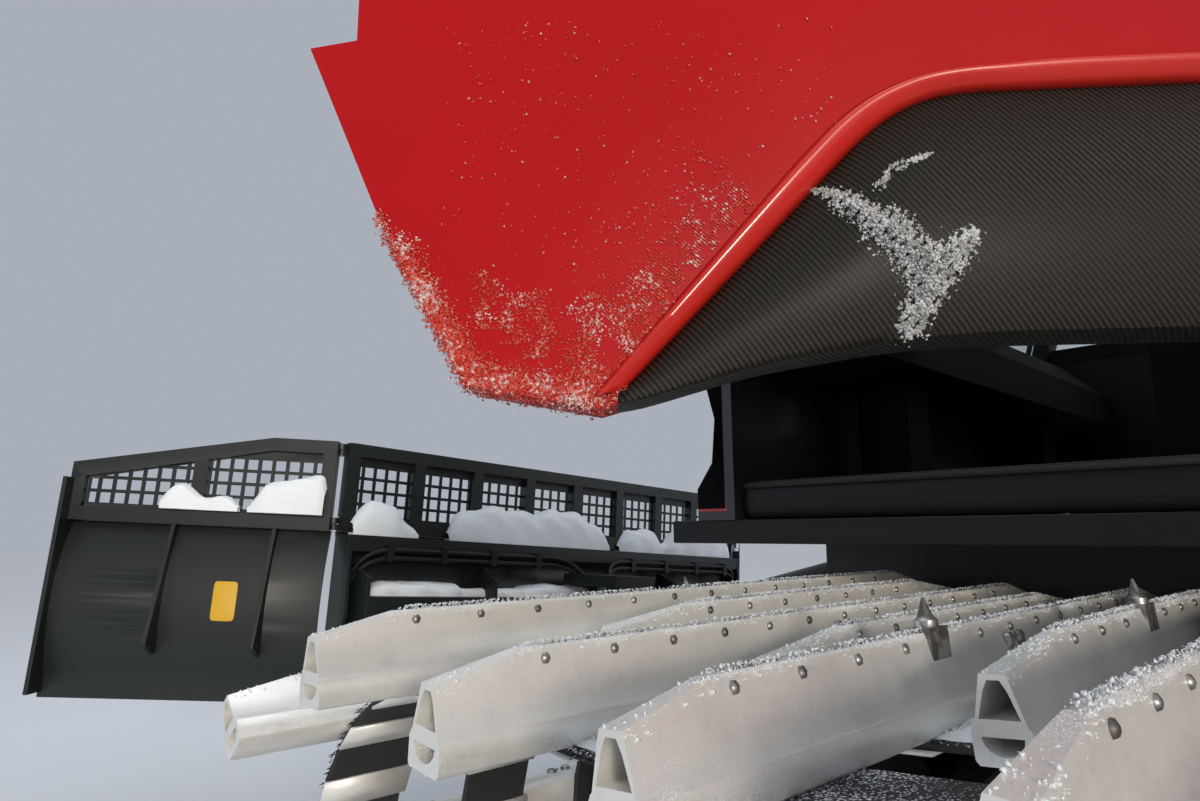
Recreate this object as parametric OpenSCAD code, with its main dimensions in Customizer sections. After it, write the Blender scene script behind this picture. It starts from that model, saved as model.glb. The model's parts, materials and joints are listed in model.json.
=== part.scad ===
// Tracked snow groomer: two tracks, cab, engine deck, front blade and rear tiller.
// Front is -Y, the machine's left is +X, and the ground is z = 0.

/* [Tracks] */
// Width of a track, which is the length of its long cross bars
track_w = 1450; // [1350:10:1550]
// Gap between the two tracks
track_gap = 1300; // [1260:10:1400]
// Height of a cross bar over the belt
bar_h = 100; // [80:5:110]
// Width of a cross bar's foot
bar_foot = 60; // [50:2:64]
// Width of a cross bar's top edge
bar_top = 12; // [8:1:18]
// Distance from one cross bar to the next, long and short in turn
bar_step = 120; // [115:1:130]
// Length of the slanted end of a bar
bar_slant = 116; // [80:2:200]
// Drop of the slanted end
bar_drop = 26; // [20:2:50]
// How far the short bars' outer ends stand back
short_inset = 330; // [300:10:480]
// How far the short bars' inner ends stand back
short_inner = 110; // [60:10:160]
// Thickness of a rubber belt
belt_t = 10; // [8:1:14]
// Width of a rubber belt
belt_w = 130; // [110:5:150]
// Number of belts in a track
belt_count = 5; // [4:1:6]
// Distance of the outermost belt's middle from the bars' ends
belt_edge = 215; // [150:5:240]
// Dip of the top run between two wheels
top_dip = 26; // [10:1:32]

/* [Wheels] */
// Radius of a road wheel's tyre
wheel_r = 370; // [350:5:375]
// Width of a tyre
tyre_w = 230; // [200:5:260]
// Number of road wheels on a side
wheel_count = 4; // [4:1:4]
// Distance from one road wheel to the next
wheel_step = 760; // [750:5:770]
// Place of the first road wheel's axle
first_wheel_y = -1115; // [-1130:5:-1090]
// Radius of the front idler's tyre
idler_r = 305; // [290:5:320]
// Place of the front idler's axle
idler_y = -1810; // [-1830:5:-1800]
// Height of the front idler's axle
idler_z = 549; // [540:1:555]
// Radius of the drive sprocket's drum
sprocket_r = 285; // [260:5:300]
// Place of the drive sprocket's axle
sprocket_y = 1905; // [1880:5:1960]
// Height of the drive sprocket's axle
sprocket_z = 565; // [550:5:580]
// Radius of an axle tube
axle_r = 55; // [45:1:65]

/* [Chassis] */
// Distance from the centre line to a frame rail's middle
rail_x = 430; // [400:5:450]
// Width of a frame rail
rail_w = 110; // [90:5:130]
// Height of a frame rail
rail_h = 300; // [260:10:330]
// Height of the frame rails' underside
rail_z = 400; // [380:5:420]
// Front end of the frame
frame_front = -2080; // [-2120:10:-2040]
// Rear end of the frame
frame_rear = 2200; // [2160:10:2240]
// Height of the deck's underside, clear of the tracks
deck_z = 1030; // [1020:5:1050]
// Thickness of the deck
deck_t = 50; // [40:5:60]

/* [Cab] */
// Distance from the centre line to a door's outer face
door_x = 1180; // [1150:5:1200]
// Thickness of a door
door_t = 60; // [50:5:70]
// Place of the doors' hinge line
hinge_y = -670; // [-700:5:-650]
// Length of a door, from its hinge line to the beak
door_len = 1424; // [1400:4:1448]
// Height of the sill line under the windows
belt_line = 1740; // [1720:5:1780]
// Slanted height of the windows
window_h = 900; // [850:10:950]
// Inward lean of the side windows
window_lean = 10; // [6:1:12]
// How far the left door stands open
door_open = 45; // [0:5:60]
// Gap between a door and what it closes on
door_gap = 8; // [6:1:12]
// Backward lean of the windscreen
screen_lean = 18; // [14:1:22]
// Thickness of the window glass
glass_t = 8; // [6:1:12]

/* [Engine deck] */
// Half width of the engine hood
hood_x = 1000; // [950:10:1050]
// Length of the engine hood
hood_len = 1750; // [1600:10:1800]
// Height of the engine hood over the deck
hood_h = 520; // [450:10:560]
// Wall of the engine hood
hood_t = 30; // [20:5:40]

/* [Blade] */
// Half width of the blade's centre section
blade_x = 1180; // [1140:10:1240]
// Place of the blade's front edge
blade_y = -3840; // [-3900:10:-3800]
// Height of the cutting edge over the ground
blade_z = 410; // [400:10:440]
// Height of the curved mouldboard
board_h = 580; // [550:10:620]
// Height of the mesh guard over the mouldboard
guard_h = 340; // [320:10:380]
// Radius of the mouldboard's curve
board_r = 700; // [640:10:800]
// Thickness of the mouldboard
board_t = 14; // [10:1:20]
// Length of a wing
wing_len = 950; // [900:10:1000]
// How far the wings are turned forward
wing_turn = 37; // [0:1:40]
// How far the whole blade is rolled, left end up
blade_tilt = 3.6; // [0:0.2:5]
// Place of the push frame's pivot
push_y = -2150; // [-2170:5:-2130]
// Height of the push frame's pivot
push_z = 560; // [540:5:580]

/* [Tiller] */
// Half width of the tiller
tiller_x = 2240; // [2150:10:2300]
// Place of the tiller's shaft
tiller_y = 3300; // [3260:10:3360]
// Height of the tiller's shaft
tiller_z = 450; // [420:10:480]
// Radius of the shaft's tube
shaft_r = 110; // [90:5:130]
// Radius over the shaft's teeth
tooth_r = 210; // [190:5:230]
// Number of rows of teeth along the shaft
tooth_rows = 22; // [12:1:30]
// Place of the rear lift's pivot
lift_y = 2290; // [2280:5:2310]
// Height of the rear lift's pivot
lift_z = 620; // [600:5:640]

// Length of the finisher mat behind the tiller
finisher_len = 951; // [850:1:1000]

/* [Hidden] */
$fn = 48;

seat_gap = 0.3;
chord_gap = 8;
// How far the belts leave the end road wheels' tyres
wheel_ease = 92;
// Running gap of a pin in its bore, and of a rod in its barrel
pin_gap = 0.3;
track_in = track_gap / 2;
track_out = track_in + track_w;
wheel_x = track_in + track_w * 0.45;
axle_z = bar_h + belt_t + seat_gap + wheel_r;
// Height of a tyre over its rim
tyre_side = 115;
door_front = hinge_y - door_len;
deck_top = deck_z + deck_t;
window_top = belt_line + window_h * cos(window_lean);
window_in = window_h * sin(window_lean);

// The track's path, round pulleys given as [y, z, radius to the belt's outside].
// A pulley with a negative radius is passed on its other side.
sag_r = 1500;
function wheel_place(i) = first_wheel_y + i * wheel_step;
wheel_tops = [for (i = [wheel_count - 1:-1:0]) [wheel_place(i), axle_z, wheel_r + belt_t + chord_gap]];
top_pulleys = concat(
    [[sprocket_y, sprocket_z, sprocket_r + belt_t + chord_gap]],
    wheel_tops,
    [[idler_y, idler_z, idler_r + belt_t + chord_gap]]
);
// The dip between two of the top pulleys
function sag(p, q) =
    [(p[0] + q[0]) / 2, (p[1] + p[2] + q[1] + q[2]) / 2 - top_dip + sag_r, -sag_r];
pulleys = concat(
    [
        [first_wheel_y - wheel_ease, axle_z, axle_z - bar_h],
        [wheel_place(wheel_count - 1) + wheel_ease, axle_z, axle_z - bar_h],
        top_pulleys[0]
    ],
    [for (i = [1:len(top_pulleys) - 1], p = [sag(top_pulleys[i - 1], top_pulleys[i]), top_pulleys[i]]) p]
);
pulley_n = len(pulleys);

function turn_of(a) = a - 360 * floor(a / 360);
function step_to(a, b) = [b[0] - a[0], b[1] - a[1]];
function run_len(a, b) = sqrt(step_to(a, b) * step_to(a, b) - pow(b[2] - a[2], 2));
function run_head(a, b) =
    atan2(step_to(a, b)[1], step_to(a, b)[0]) - atan2(b[2] - a[2], run_len(a, b));

heads = [for (i = [0:pulley_n - 1]) run_head(pulleys[i], pulleys[(i + 1) % pulley_n])];
turns = [for (i = [0:pulley_n - 1])
    let (t = heads[i] - heads[(i + pulley_n - 1) % pulley_n])
    pulleys[i][2] > 0 ? turn_of(t) : -turn_of(-t)];
arcs = [for (i = [0:pulley_n - 1]) abs(turns[i] * pulleys[i][2]) * PI / 180];
runs = [for (i = [0:pulley_n - 1]) run_len(pulleys[i], pulleys[(i + 1) % pulley_n])];
starts = [for (i = 0, s = 0; i <= pulley_n; s = s + (i < pulley_n ? arcs[i] + runs[i] : 0), i = i + 1) s];
loop_len = starts[pulley_n];

// The point of the path at the distance s, as [y, z, heading]
function path_at(s) = let (
    d = s - loop_len * floor(s / loop_len),
    i = max([for (k = [0:pulley_n - 1]) if (starts[k] <= d) k]),
    e = d - starts[i],
    h = e < arcs[i] ? heads[i] - turns[i] * (1 - e / arcs[i]) : heads[i],
    p = pulleys[i],
    q = max(0, e - arcs[i])
) [p[0] + p[2] * sin(h) + q * cos(h), p[1] - p[2] * cos(h) + q * sin(h), h];

// A long bar stands on the idler's crest, and the others follow from it
crest_turn = 180 - turn_of(heads[pulley_n - 2]);
crest_s = starts[pulley_n - 1] + pulleys[pulley_n - 1][2] * crest_turn * PI / 180;
bar_n = 2 * round(loop_len / bar_step / 2);
corners = [for (k = [0:bar_n - 1]) path_at(crest_s + (k - 0.5) * loop_len / bar_n)];
function corner(k) = corners[(k + bar_n) % bar_n];
function chord_head(k) = atan2(corner(k + 1)[1] - corner(k)[1], corner(k + 1)[0] - corner(k)[0]);
function bends(k) = abs(sin(chord_head(k) - chord_head(k - 1))) > 0.0005;

// Extrudes a profile drawn as (y, z) along X
module along_x(x0, x1) {
    translate([x0, 0, 0]) rotate([90, 0, 90]) linear_extrude(x1 - x0) children();
}

// Extrudes a profile drawn as (x, z) along Y
module along_y(y0, y1) {
    translate([0, y1, 0]) rotate([90, 0, 0]) linear_extrude(y1 - y0) children();
}

// Extrudes a profile drawn as (x, y) along Z
module along_z(z0, z1) {
    translate([0, 0, z0]) linear_extrude(z1 - z0) children();
}

module both_sides() {
    children();
    mirror([1, 0, 0]) children();
}

// A block given by its two corners
module block(a, b) {
    translate(a) cube([b[0] - a[0], b[1] - a[1], b[2] - a[2]]);
}

// A square bar of the height a and the width b from the point p to the point q
module beam(p, q, a, b) {
    d = q - p;
    translate(p) rotate([0, atan2(norm([d[0], d[1]]), d[2]), atan2(d[1], d[0])])
        translate([-a / 2, -b / 2, 0]) cube([a, b, norm(d)]);
}

// A round bar from the point p to the point q
module rod(p, q, r) {
    d = q - p;
    translate(p) rotate([0, atan2(norm([d[0], d[1]]), d[2]), atan2(d[1], d[0])])
        cylinder(r = r, h = norm(d));
}

// A round pin or tube along X
module pin_x(x0, x1, y, z, r) {
    translate([x0, y, z]) rotate([0, 90, 0]) cylinder(r = r, h = x1 - x0);
}

// One cross bar, its foot sunk 2 mm in the belts, cut to its slanted ends
module cross_bar(x0, x1, slant) {
    intersection() {
        along_x(x0, x1) polygon([
            [-bar_foot / 2, -2], [bar_foot / 2, -2], [bar_foot / 2, 12],
            [bar_top / 2, bar_h], [-bar_top / 2, bar_h], [-bar_foot / 2, 12]
        ]);
        along_y(-bar_foot, bar_foot) polygon([
            [x0, -3], [x1, -3], [x1, bar_h - bar_drop], [x1 - slant, bar_h],
            [x0 + slant, bar_h], [x0, bar_h - bar_drop]
        ]);
    }
}

// One track: the belts as closed bands, with a cross bar on the middle of each of their flats
module track() {
    belt_pts = [for (k = [0:bar_n - 1]) if (bends(k)) corner(k)];
    pitch = (track_w - 2 * belt_edge) / (belt_count - 1);
    for (i = [0:belt_count - 1])
        let (x = track_out - belt_edge - i * pitch)
            along_x(x - belt_w / 2, x + belt_w / 2) difference() {
                polygon([for (p = belt_pts) [p[0], p[1]]]);
                polygon([for (p = belt_pts) [p[0] - belt_t * sin(p[2]), p[1] + belt_t * cos(p[2])]]);
            }
    for (k = [0:bar_n - 1])
        let (p = (corner(k) + corner(k + 1)) / 2, long = k % 2 == 0)
            translate([0, p[0], p[1]]) rotate([chord_head(k) + 180, 0, 0])
                cross_bar(
                    long ? track_in : track_in + short_inner,
                    long ? track_out : track_out - short_inset,
                    long ? bar_slant : bar_slant * 1.6
                );
}

module track_left() { color("dimgray") track(); }
module track_right() { color("dimgray") mirror([1, 0, 0]) track(); }

// Each wheel as [y, z, tyre radius]
wheels = concat(
    [for (i = [0:wheel_count - 1]) [wheel_place(i), axle_z, wheel_r]],
    [[idler_y, idler_z, idler_r]]
);

module turned(y, z) {
    translate([wheel_x, y, z]) rotate([0, 90, 0]) rotate_extrude() children();
}

module tyres() {
    half = tyre_w / 2;
    color("black") both_sides() for (w = wheels)
        turned(w[0], w[1]) polygon([
            [w[2] - tyre_side, -half + 20], [w[2] - 60, -half], [w[2] - 22, -half], [w[2], -half + 26],
            [w[2], half - 26], [w[2] - 22, half], [w[2] - 60, half], [w[2] - tyre_side, half - 20]
        ]);
}

module wheel_rims() {
    half = tyre_w / 2 - 20;
    color("gray") both_sides() for (w = wheels) let (rim_r = w[2] - tyre_side)
        translate([wheel_x, w[0], w[1]]) rotate([0, 90, 0]) difference() {
            rotate_extrude() polygon([
                [axle_r, -half - 30], [axle_r + 40, -half - 30], [axle_r + 40, -20], [rim_r - 16, -20],
                [rim_r - 16, -half], [rim_r, -half], [rim_r, half], [rim_r - 16, half],
                [rim_r - 16, 4], [axle_r + 40, 4], [axle_r + 40, half], [axle_r, half]
            ]);
            for (a = [0:60:300]) rotate(a) translate([(rim_r + axle_r) / 2 + 12, 0, -50])
                cylinder(r = 24, h = 100);
        }
}

module drive_sprockets() {
    teeth = 15;
    color("darkslategray") both_sides() translate([wheel_x, sprocket_y, sprocket_z])
        rotate([0, 90, 0]) difference() {
            union() {
                translate([0, 0, -150]) cylinder(r = sprocket_r - 40, h = 300);
                for (x = [-150, 120]) translate([0, 0, x]) linear_extrude(30) polygon([
                    for (i = [0:teeth - 1], c = [[-9, -24], [-4, -2], [4, -2], [9, -24]])
                        let (a = i * 360 / teeth + c[0] * 0.9, r = sprocket_r + c[1]) [r * cos(a), r * sin(a)]
                ]);
            }
            translate([0, 0, -151]) cylinder(r = axle_r + 35, h = 302);
        }
}

module axles() {
    color("dimgray") {
        for (w = wheels) if (w[2] == wheel_r)
            pin_x(-wheel_x - tyre_w / 2, wheel_x + tyre_w / 2, w[0], w[1], axle_r);
        pin_x(-wheel_x - 150, wheel_x + 150, sprocket_y, sprocket_z, axle_r + 35);
    }
}

// The hull's side plates
hull_x = track_in - 75;
hull_t = 12;

module idler_arms() {
    color("dimgray") both_sides() {
        pin_x(hull_x, wheel_x + tyre_w / 2, idler_y, idler_z, axle_r);
        block([hull_x, idler_y - 65, idler_z - 65], [hull_x + 28, first_wheel_y - 110, idler_z + 65]);
    }
}

// Sideways places and radii of the lift arms' pivots and the lift cylinders' eyes
arm_x = 330;
// The arms' height and width, and the radius of the eye at each one's end
arm_h = 106;
arm_w = 88;
arm_eye_r = 60;
cyl_x = 200;
pivot_r = 30;
eye_pin_r = 18;
tow_r = 22;

module chassis_frame() {
    top = rail_z + rail_h;
    color("dimgray") difference() {
        union() {
            both_sides() block([rail_x - rail_w / 2, frame_front, rail_z - 1], [rail_x + rail_w / 2, frame_rear, top]);
            for (y = [frame_front, -950, 450, frame_rear - 90])
                block([-rail_x, y, rail_z + 60], [rail_x, y + 90, top - 20]);
            block([-hull_x, frame_front, rail_z - 10], [hull_x, frame_rear, rail_z]);
            both_sides() block([hull_x - hull_t, frame_front, rail_z - 1], [hull_x, frame_rear, deck_z]);
            for (y = [frame_front, frame_rear - hull_t])
                block([-hull_x, y, rail_z - 1], [hull_x, y + hull_t, deck_z]);
            for (y = [frame_front + 60, -900, 500, frame_rear - 160]) both_sides()
                block([rail_x - 60, y, top - 1], [rail_x + 60, y + 100, deck_z]);
            both_sides() for (s = [-1, 1])
                block([arm_x + s * 60 - 15, push_y - 50, push_z - 60], [arm_x + s * 60 + 15, frame_front + 10, push_z + 60]);
            both_sides() for (s = [-1, 1])
                block([arm_x + s * 60 - 15, frame_rear - 10, lift_z - 60], [arm_x + s * 60 + 15, lift_y + 50, lift_z + 60]);
            both_sides() for (s = [-1, 1]) {
                block([cyl_x + s * 57 - 12, frame_front - 110, deck_z - 130], [cyl_x + s * 57 + 12, frame_front + 10, deck_z - 20]);
                block([cyl_x + s * 57 - 12, frame_rear - 10, deck_z - 130], [cyl_x + s * 57 + 12, frame_rear + 110, deck_z - 20]);
            }
            both_sides() {
                pin_x(arm_x - 72, arm_x + 72, push_y, push_z, pivot_r - pin_gap);
                pin_x(arm_x - 72, arm_x + 72, lift_y, lift_z, pivot_r - pin_gap);
                pin_x(cyl_x - 67, cyl_x + 67, lift_foot[1], lift_foot[2], eye_pin_r - pin_gap);
                pin_x(cyl_x - 67, cyl_x + 67, rear_foot[1], rear_foot[2], eye_pin_r - pin_gap);
            }
            for (y = [frame_front - 110, frame_rear - 10])
                block([-60, y, rail_z + 60], [60, y + 120, rail_z + 90]);
        }
        for (w = wheels) if (w[2] == wheel_r) pin_x(-700, 700, w[0], w[1], axle_r);
        pin_x(-700, 700, sprocket_y, sprocket_z, axle_r + 35);
        for (y = [frame_front - 60, frame_rear + 60])
            translate([0, y, rail_z + 50]) cylinder(r = tow_r, h = 50);
    }
}

module body_deck() {
    color("black") {
        block([-door_x + 70, screen_base_y - 120, deck_z], [door_x - 70, frame_rear, deck_top]);
    }
}

module engine_block() {
    color("slategray") block([-380, -350, deck_top], [380, 900, deck_top + hood_h - hood_t - 40]);
}

hood_front = hinge_y + 160;
hood_rear = hood_front + hood_len;

// The side vents' places behind the hood's front, their length, foot and distance below the top
vent_starts = [300, 1050];
vent_len = 500;
vent_foot = 110;
vent_drop = 160;
slat_h = 14;
slat_rise = 36;
slat_count = 7;

// The tail vent's half width, foot, distance below the top, and its slats
tail_x = 550;
tail_foot = 90;
tail_drop = 110;
tail_rise = 40;
tail_count = 8;

module engine_hood() {
    z0 = deck_top;
    z1 = deck_top + hood_h;
    color("darkred") difference() {
        along_y(hood_front, hood_rear) polygon([
            [-hood_x, z0], [hood_x, z0], [hood_x, z1 - 90], [hood_x - 110, z1], [-hood_x + 110, z1], [-hood_x, z1 - 90]
        ]);
        along_y(hood_front + hood_t, hood_rear - hood_t) polygon([
            [-hood_x + hood_t, z0 - 1], [hood_x - hood_t, z0 - 1], [hood_x - hood_t, z1 - 102],
            [hood_x - 122, z1 - hood_t], [-hood_x + 122, z1 - hood_t], [-hood_x + hood_t, z1 - 102]
        ]);
        for (v = vent_starts)
            block([-hood_x - 1, hood_front + v, z0 + vent_foot], [hood_x + 1, hood_front + v + vent_len, z1 - vent_drop]);
        block([-tail_x, hood_rear - hood_t - 1, z0 + tail_foot], [tail_x, hood_rear + 1, z1 - tail_drop]);
        bed_holes();
    }
}

// The load bed: its front behind the hood's, its half width, its height, floor and walls
bed_start = 420;
bed_x = hood_x - 112;
bed_h = 60;
bed_floor = 12;
bed_wall = 30;

// The four bolt holes of the load bed
bed_mid_y = (hood_front + bed_start + hood_rear) / 2;
bed_bolt_x = 1200;
bed_bolt_y = 900;
bed_bolt_r = 7;

module bed_holes() {
    for (x = [-1, 1], y = [-1, 1])
        translate([x * bed_bolt_x / 2, bed_mid_y + y * bed_bolt_y / 2, deck_top + hood_h - 100])
            cylinder(r = bed_bolt_r, h = 200);
}

module hood_grilles() {
    z0 = deck_top;
    z1 = deck_top + hood_h;
    color("black") {
        both_sides() for (v = vent_starts, k = [0:slat_count - 1]) let (z = z0 + vent_foot + 6 + k * slat_rise)
            block([hood_x - hood_t + 4, hood_front + v, z], [hood_x - 6, hood_front + v + vent_len, z + slat_h]);
        for (k = [0:tail_count - 1]) let (z = z0 + tail_foot + 8 + k * tail_rise)
            block([-tail_x, hood_rear - hood_t + 4, z], [tail_x, hood_rear - 6, z + slat_h]);
    }
}

module load_bed() {
    z1 = deck_top + hood_h;
    y0 = hood_front + bed_start;
    zw = z1 + bed_floor + seat_gap;
    x = bed_x - bed_wall - seat_gap;
    color("black") {
        difference() {
            block([-bed_x, y0, z1], [bed_x, hood_rear, z1 + bed_floor]);
            bed_holes();
        }
        both_sides() block([bed_x - bed_wall, y0, zw], [bed_x, hood_rear, z1 + bed_h]);
        for (y = [y0, hood_rear - bed_wall]) block([-x, y, zw], [x, y + bed_wall, z1 + bed_h]);
    }
}

module bed_rails() {
    z1 = deck_top + hood_h + bed_h;
    x = bed_x - bed_wall / 2;
    y0 = hood_front + bed_start + bed_wall / 2;
    y1 = hood_rear - bed_wall / 2;
    color("black") both_sides() {
        for (y = [y0, (y0 + y1) / 2, y1]) rod([x, y, z1], [x, y, z1 + 260], 14);
        rod([x, y0 - 14, z1 + 260], [x, y1 + 14, z1 + 260], 16);
    }
}

module exhaust_stack() {
    x = -hood_x + 200;
    y = hood_front + 250;
    z = deck_top + hood_h;
    color("gray") {
        translate([x, y, z]) cylinder(r = 85, h = 500);
        translate([x, y, z + 500]) cylinder(r1 = 85, r2 = 50, h = 40);
        translate([x, y, z + 540]) difference() {
            cylinder(r = 50, h = 480);
            translate([0, 0, 60]) cylinder(r = 44, h = 430);
        }
    }
}

module air_intake() {
    x = hood_x - 200;
    y = hood_front + 250;
    z = deck_top + hood_h;
    color("black") {
        translate([x, y, z]) cylinder(r = 70, h = 620);
        translate([x, y, z + 620]) cylinder(r1 = 70, r2 = 120, h = 30);
        translate([x, y, z + 650]) cylinder(r = 120, h = 90);
    }
}

screen_base_y = door_front + 60;
screen_rise = window_top - belt_line;
screen_top_y = screen_base_y + screen_rise * tan(screen_lean);
nose_x = door_x - door_t - door_gap;

// The left half of the nose's outline from above, as [x, distance behind the windscreen's foot]
nose_plan = [[nose_x, 60], [nose_x, -40], [nose_x - 310, -300], [nose_x - 600, -450], [0, -460]];

module nose_profile() {
    polygon([
        [screen_base_y + 60, deck_top], [screen_base_y - 240, deck_top], [screen_base_y - 420, deck_top + 170],
        [screen_base_y - 450, deck_top + 330], [screen_base_y - 340, deck_top + 500],
        [screen_base_y, belt_line], [screen_base_y + 60, belt_line]
    ]);
}

module cab_nose() {
    color("darkred") difference() {
        intersection() {
            along_x(-nose_x, nose_x) difference() {
                nose_profile();
                offset(delta = -25) nose_profile();
            }
            along_z(deck_top, belt_line) polygon([
                for (c = nose_plan) [c[0], screen_base_y + c[1]],
                for (i = [len(nose_plan) - 1:-1:0]) [-nose_plan[i][0], screen_base_y + nose_plan[i][1]]
            ]);
        }
        lamp_places() cylinder(r = 62 + pin_gap, h = 120);
    }
}

lamp_y = screen_base_y - 425;

module lamp_places() {
    both_sides() for (x = [280, 430])
        translate([x, lamp_y, deck_top + 250]) rotate([90, 0, 0]) children();
}

module cab_rear_wall() {
    y0 = hinge_y + door_gap;
    color("darkred") difference() {
        along_y(y0, y0 + 60) polygon([
            [-nose_x, deck_top], [nose_x, deck_top], [nose_x, belt_line], [nose_x - window_in, window_top],
            [-nose_x + window_in, window_top], [-nose_x, belt_line]
        ]);
        along_y(y0 - 1, y0 + 61) polygon([
            [-800, belt_line + 60], [800, belt_line + 60], [700, window_top - 110], [-700, window_top - 110]
        ]);
    }
    color("black") hinge_ears();
}

module cab_pillars() {
    color("black") both_sides() hull() {
        block([nose_x - 88, screen_base_y - 30, belt_line], [nose_x - 14, screen_base_y + 60, belt_line + 1]);
        block([nose_x - 88 - window_in, screen_top_y - 30, window_top - 1],
              [nose_x - 14 - window_in, screen_top_y + 60, window_top]);
    }
}

// How far the roof stands over the side windows
roof_lip = 50;

module cab_roof() {
    x = nose_x - window_in + roof_lip;
    color("darkred") along_x(-x, x) polygon([
        [screen_top_y - 130, window_top], [hinge_y + 90, window_top], [hinge_y + 90, window_top + 70],
        [hinge_y - 60, window_top + 120], [screen_top_y + 150, window_top + 130], [screen_top_y - 130, window_top + 60]
    ]);
}

module windscreen() {
    w0 = nose_x - 96;
    w1 = w0 - window_in;
    rise = screen_rise / cos(screen_lean);
    color("lightcyan") translate([0, screen_base_y, belt_line + 1.5]) rotate([90 - screen_lean, 0, 0])
        translate([0, 0, -glass_t / 2]) linear_extrude(glass_t)
        polygon([[-w0, 0], [w0, 0], [w1, rise - 4], [-w1, rise - 4]]);
}

module rear_window() {
    y0 = hinge_y + door_gap + 26;
    color("lightcyan") along_y(y0, y0 + glass_t) polygon([
        [-800, belt_line + 60], [800, belt_line + 60], [700, window_top - 110], [-700, window_top - 110]
    ]);
}

module headlamps() {
    color("whitesmoke") lamp_places() cylinder(r = 62, h = 34);
}

module roof_lamps() {
    color("whitesmoke") both_sides() for (x = [240, 520, 800])
        translate([x, screen_top_y - 130, window_top + 30]) rotate([90, 0, 0]) cylinder(r = 55, h = 60);
}

module beacon() {
    color("orange") translate([-600, hinge_y - 80, window_top + 121]) {
        cylinder(r = 60, h = 30);
        translate([0, 0, 30]) cylinder(r = 50, h = 90);
    }
}

// The mirrors' heads stand ahead of the sweep of the doors, on arms from the roof's front edge
module mirrors() {
    x = nose_x - window_in + roof_lip - 40;
    y = door_front - 90;
    z = window_top + 30;
    foot = screen_top_y - 130 - seat_gap;
    color("black") both_sides() {
        block([x - 26, foot - 24, z - 26], [x + 26, foot, z + 26]);
        rod([x, foot - 20, z], [x + 120, y, z - 60], 14);
        block([x + 60, y - 40, z - 460], [x + 240, y, z - 50]);
    }
}

module wipers() {
    color("black") for (x = [-420, 420])
        translate([0, screen_base_y, belt_line + 1.5]) rotate([-screen_lean, 0, 0])
            translate([0, -glass_t / 2 - 18 - seat_gap, 0]) rotate([0, x > 0 ? -14 : 14, 0])
            translate([x, 0, 20]) cube([20, 18, 620]);
}

module dashboard() {
    color("dimgray") {
        along_x(-nose_x + 120, nose_x - 120) polygon([
            [screen_base_y + 70, belt_line - 320], [screen_base_y + 300, belt_line - 300],
            [screen_base_y + 280, belt_line - 180], [screen_base_y + 130, belt_line - 40],
            [screen_base_y + 70, belt_line - 40]
        ]);
        for (x = [-500, 500]) block([x - 60, screen_base_y + 72, deck_top], [x + 60, screen_base_y + 200, belt_line - 310]);
    }
}

// Each seat as [x, width], the seats' base and cushion heights, and how far back they stand
seats = [[180, 520], [-520, 460]];
base_h = 260;
cushion_h = 140;
backrest_h = 650;
seat_front = 600;
seat_rear = 110;

module seat_bases() {
    color("dimgray") for (s = seats)
        block([s[0] - 180, hinge_y - seat_front + 80, deck_top], [s[0] + 180, hinge_y - seat_rear - 30, deck_top + base_h]);
}

module seat_cushions() {
    color("black") for (s = seats) {
        x0 = s[0] - s[1] / 2;
        z0 = deck_top + base_h;
        z1 = z0 + cushion_h;
        block([x0, hinge_y - seat_front, z0 + seat_gap], [x0 + s[1], hinge_y - seat_rear, z1]);
        along_x(x0 + 20, x0 + s[1] - 20) polygon([
            [hinge_y - seat_rear - 90, z1 + seat_gap], [hinge_y - seat_rear + 20, z1 + seat_gap],
            [hinge_y - seat_rear + 90, z1 + backrest_h], [hinge_y - seat_rear - 10, z1 + backrest_h]
        ]);
    }
}

module steering_console() {
    color("dimgray") {
        block([500, hinge_y - 620, deck_top], [660, hinge_y - 200, deck_top + 560]);
        translate([580, hinge_y - 540, deck_top + 560]) cylinder(r = 16, h = 130);
        translate([580, hinge_y - 540, deck_top + 690]) sphere(r = 30);
    }
}

// A door lies shut in these modules. Points are [distance ahead of the hinge line, height].
sill = belt_line - 570;
ledge = 49;
door_outline = [
    [8, sill + 80], [554, sill + 75], [740, sill + 73], [834, sill + 67], [968, sill + 44],
    [door_len - 303, sill], [door_len - 173, sill + 24], [door_len - 89, sill + 177],
    [door_len, sill + 386], [door_len - ledge, sill + 394], [door_len - ledge, belt_line], [8, belt_line]
];
// The insert's upper edge, and the raised lip's, which runs beside it
insert_edge = [[1098, sill + 16], [849, sill + 280], [804, sill + 311], [759, sill + 322], [524, sill + 327], [60, sill + 333]];
lip_edge = [[1116, sill + 14], [865, sill + 298], [820, sill + 326], [777, sill + 341], [668, sill + 352], [60, sill + 363]];
insert_outline = concat(
    [[60, sill + 92], [554, sill + 87], [740, sill + 84], [834, sill + 78], [968, sill + 55]], insert_edge
);
lip_outline = concat(insert_edge, [for (i = [len(lip_edge) - 1:-1:0]) lip_edge[i]]);
lip_h = 10;

// The hinge pins' place, their heights and sizes
pin_x0 = door_x + 14;
hinge_zs = [1300, 1640];
hinge_pin_r = 9;
knuckle_h = 70;

module door_plate(x0, x1, pts) {
    along_x(x0, x1) polygon([for (p = pts) [hinge_y - p[0], p[1]]]);
}

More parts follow.
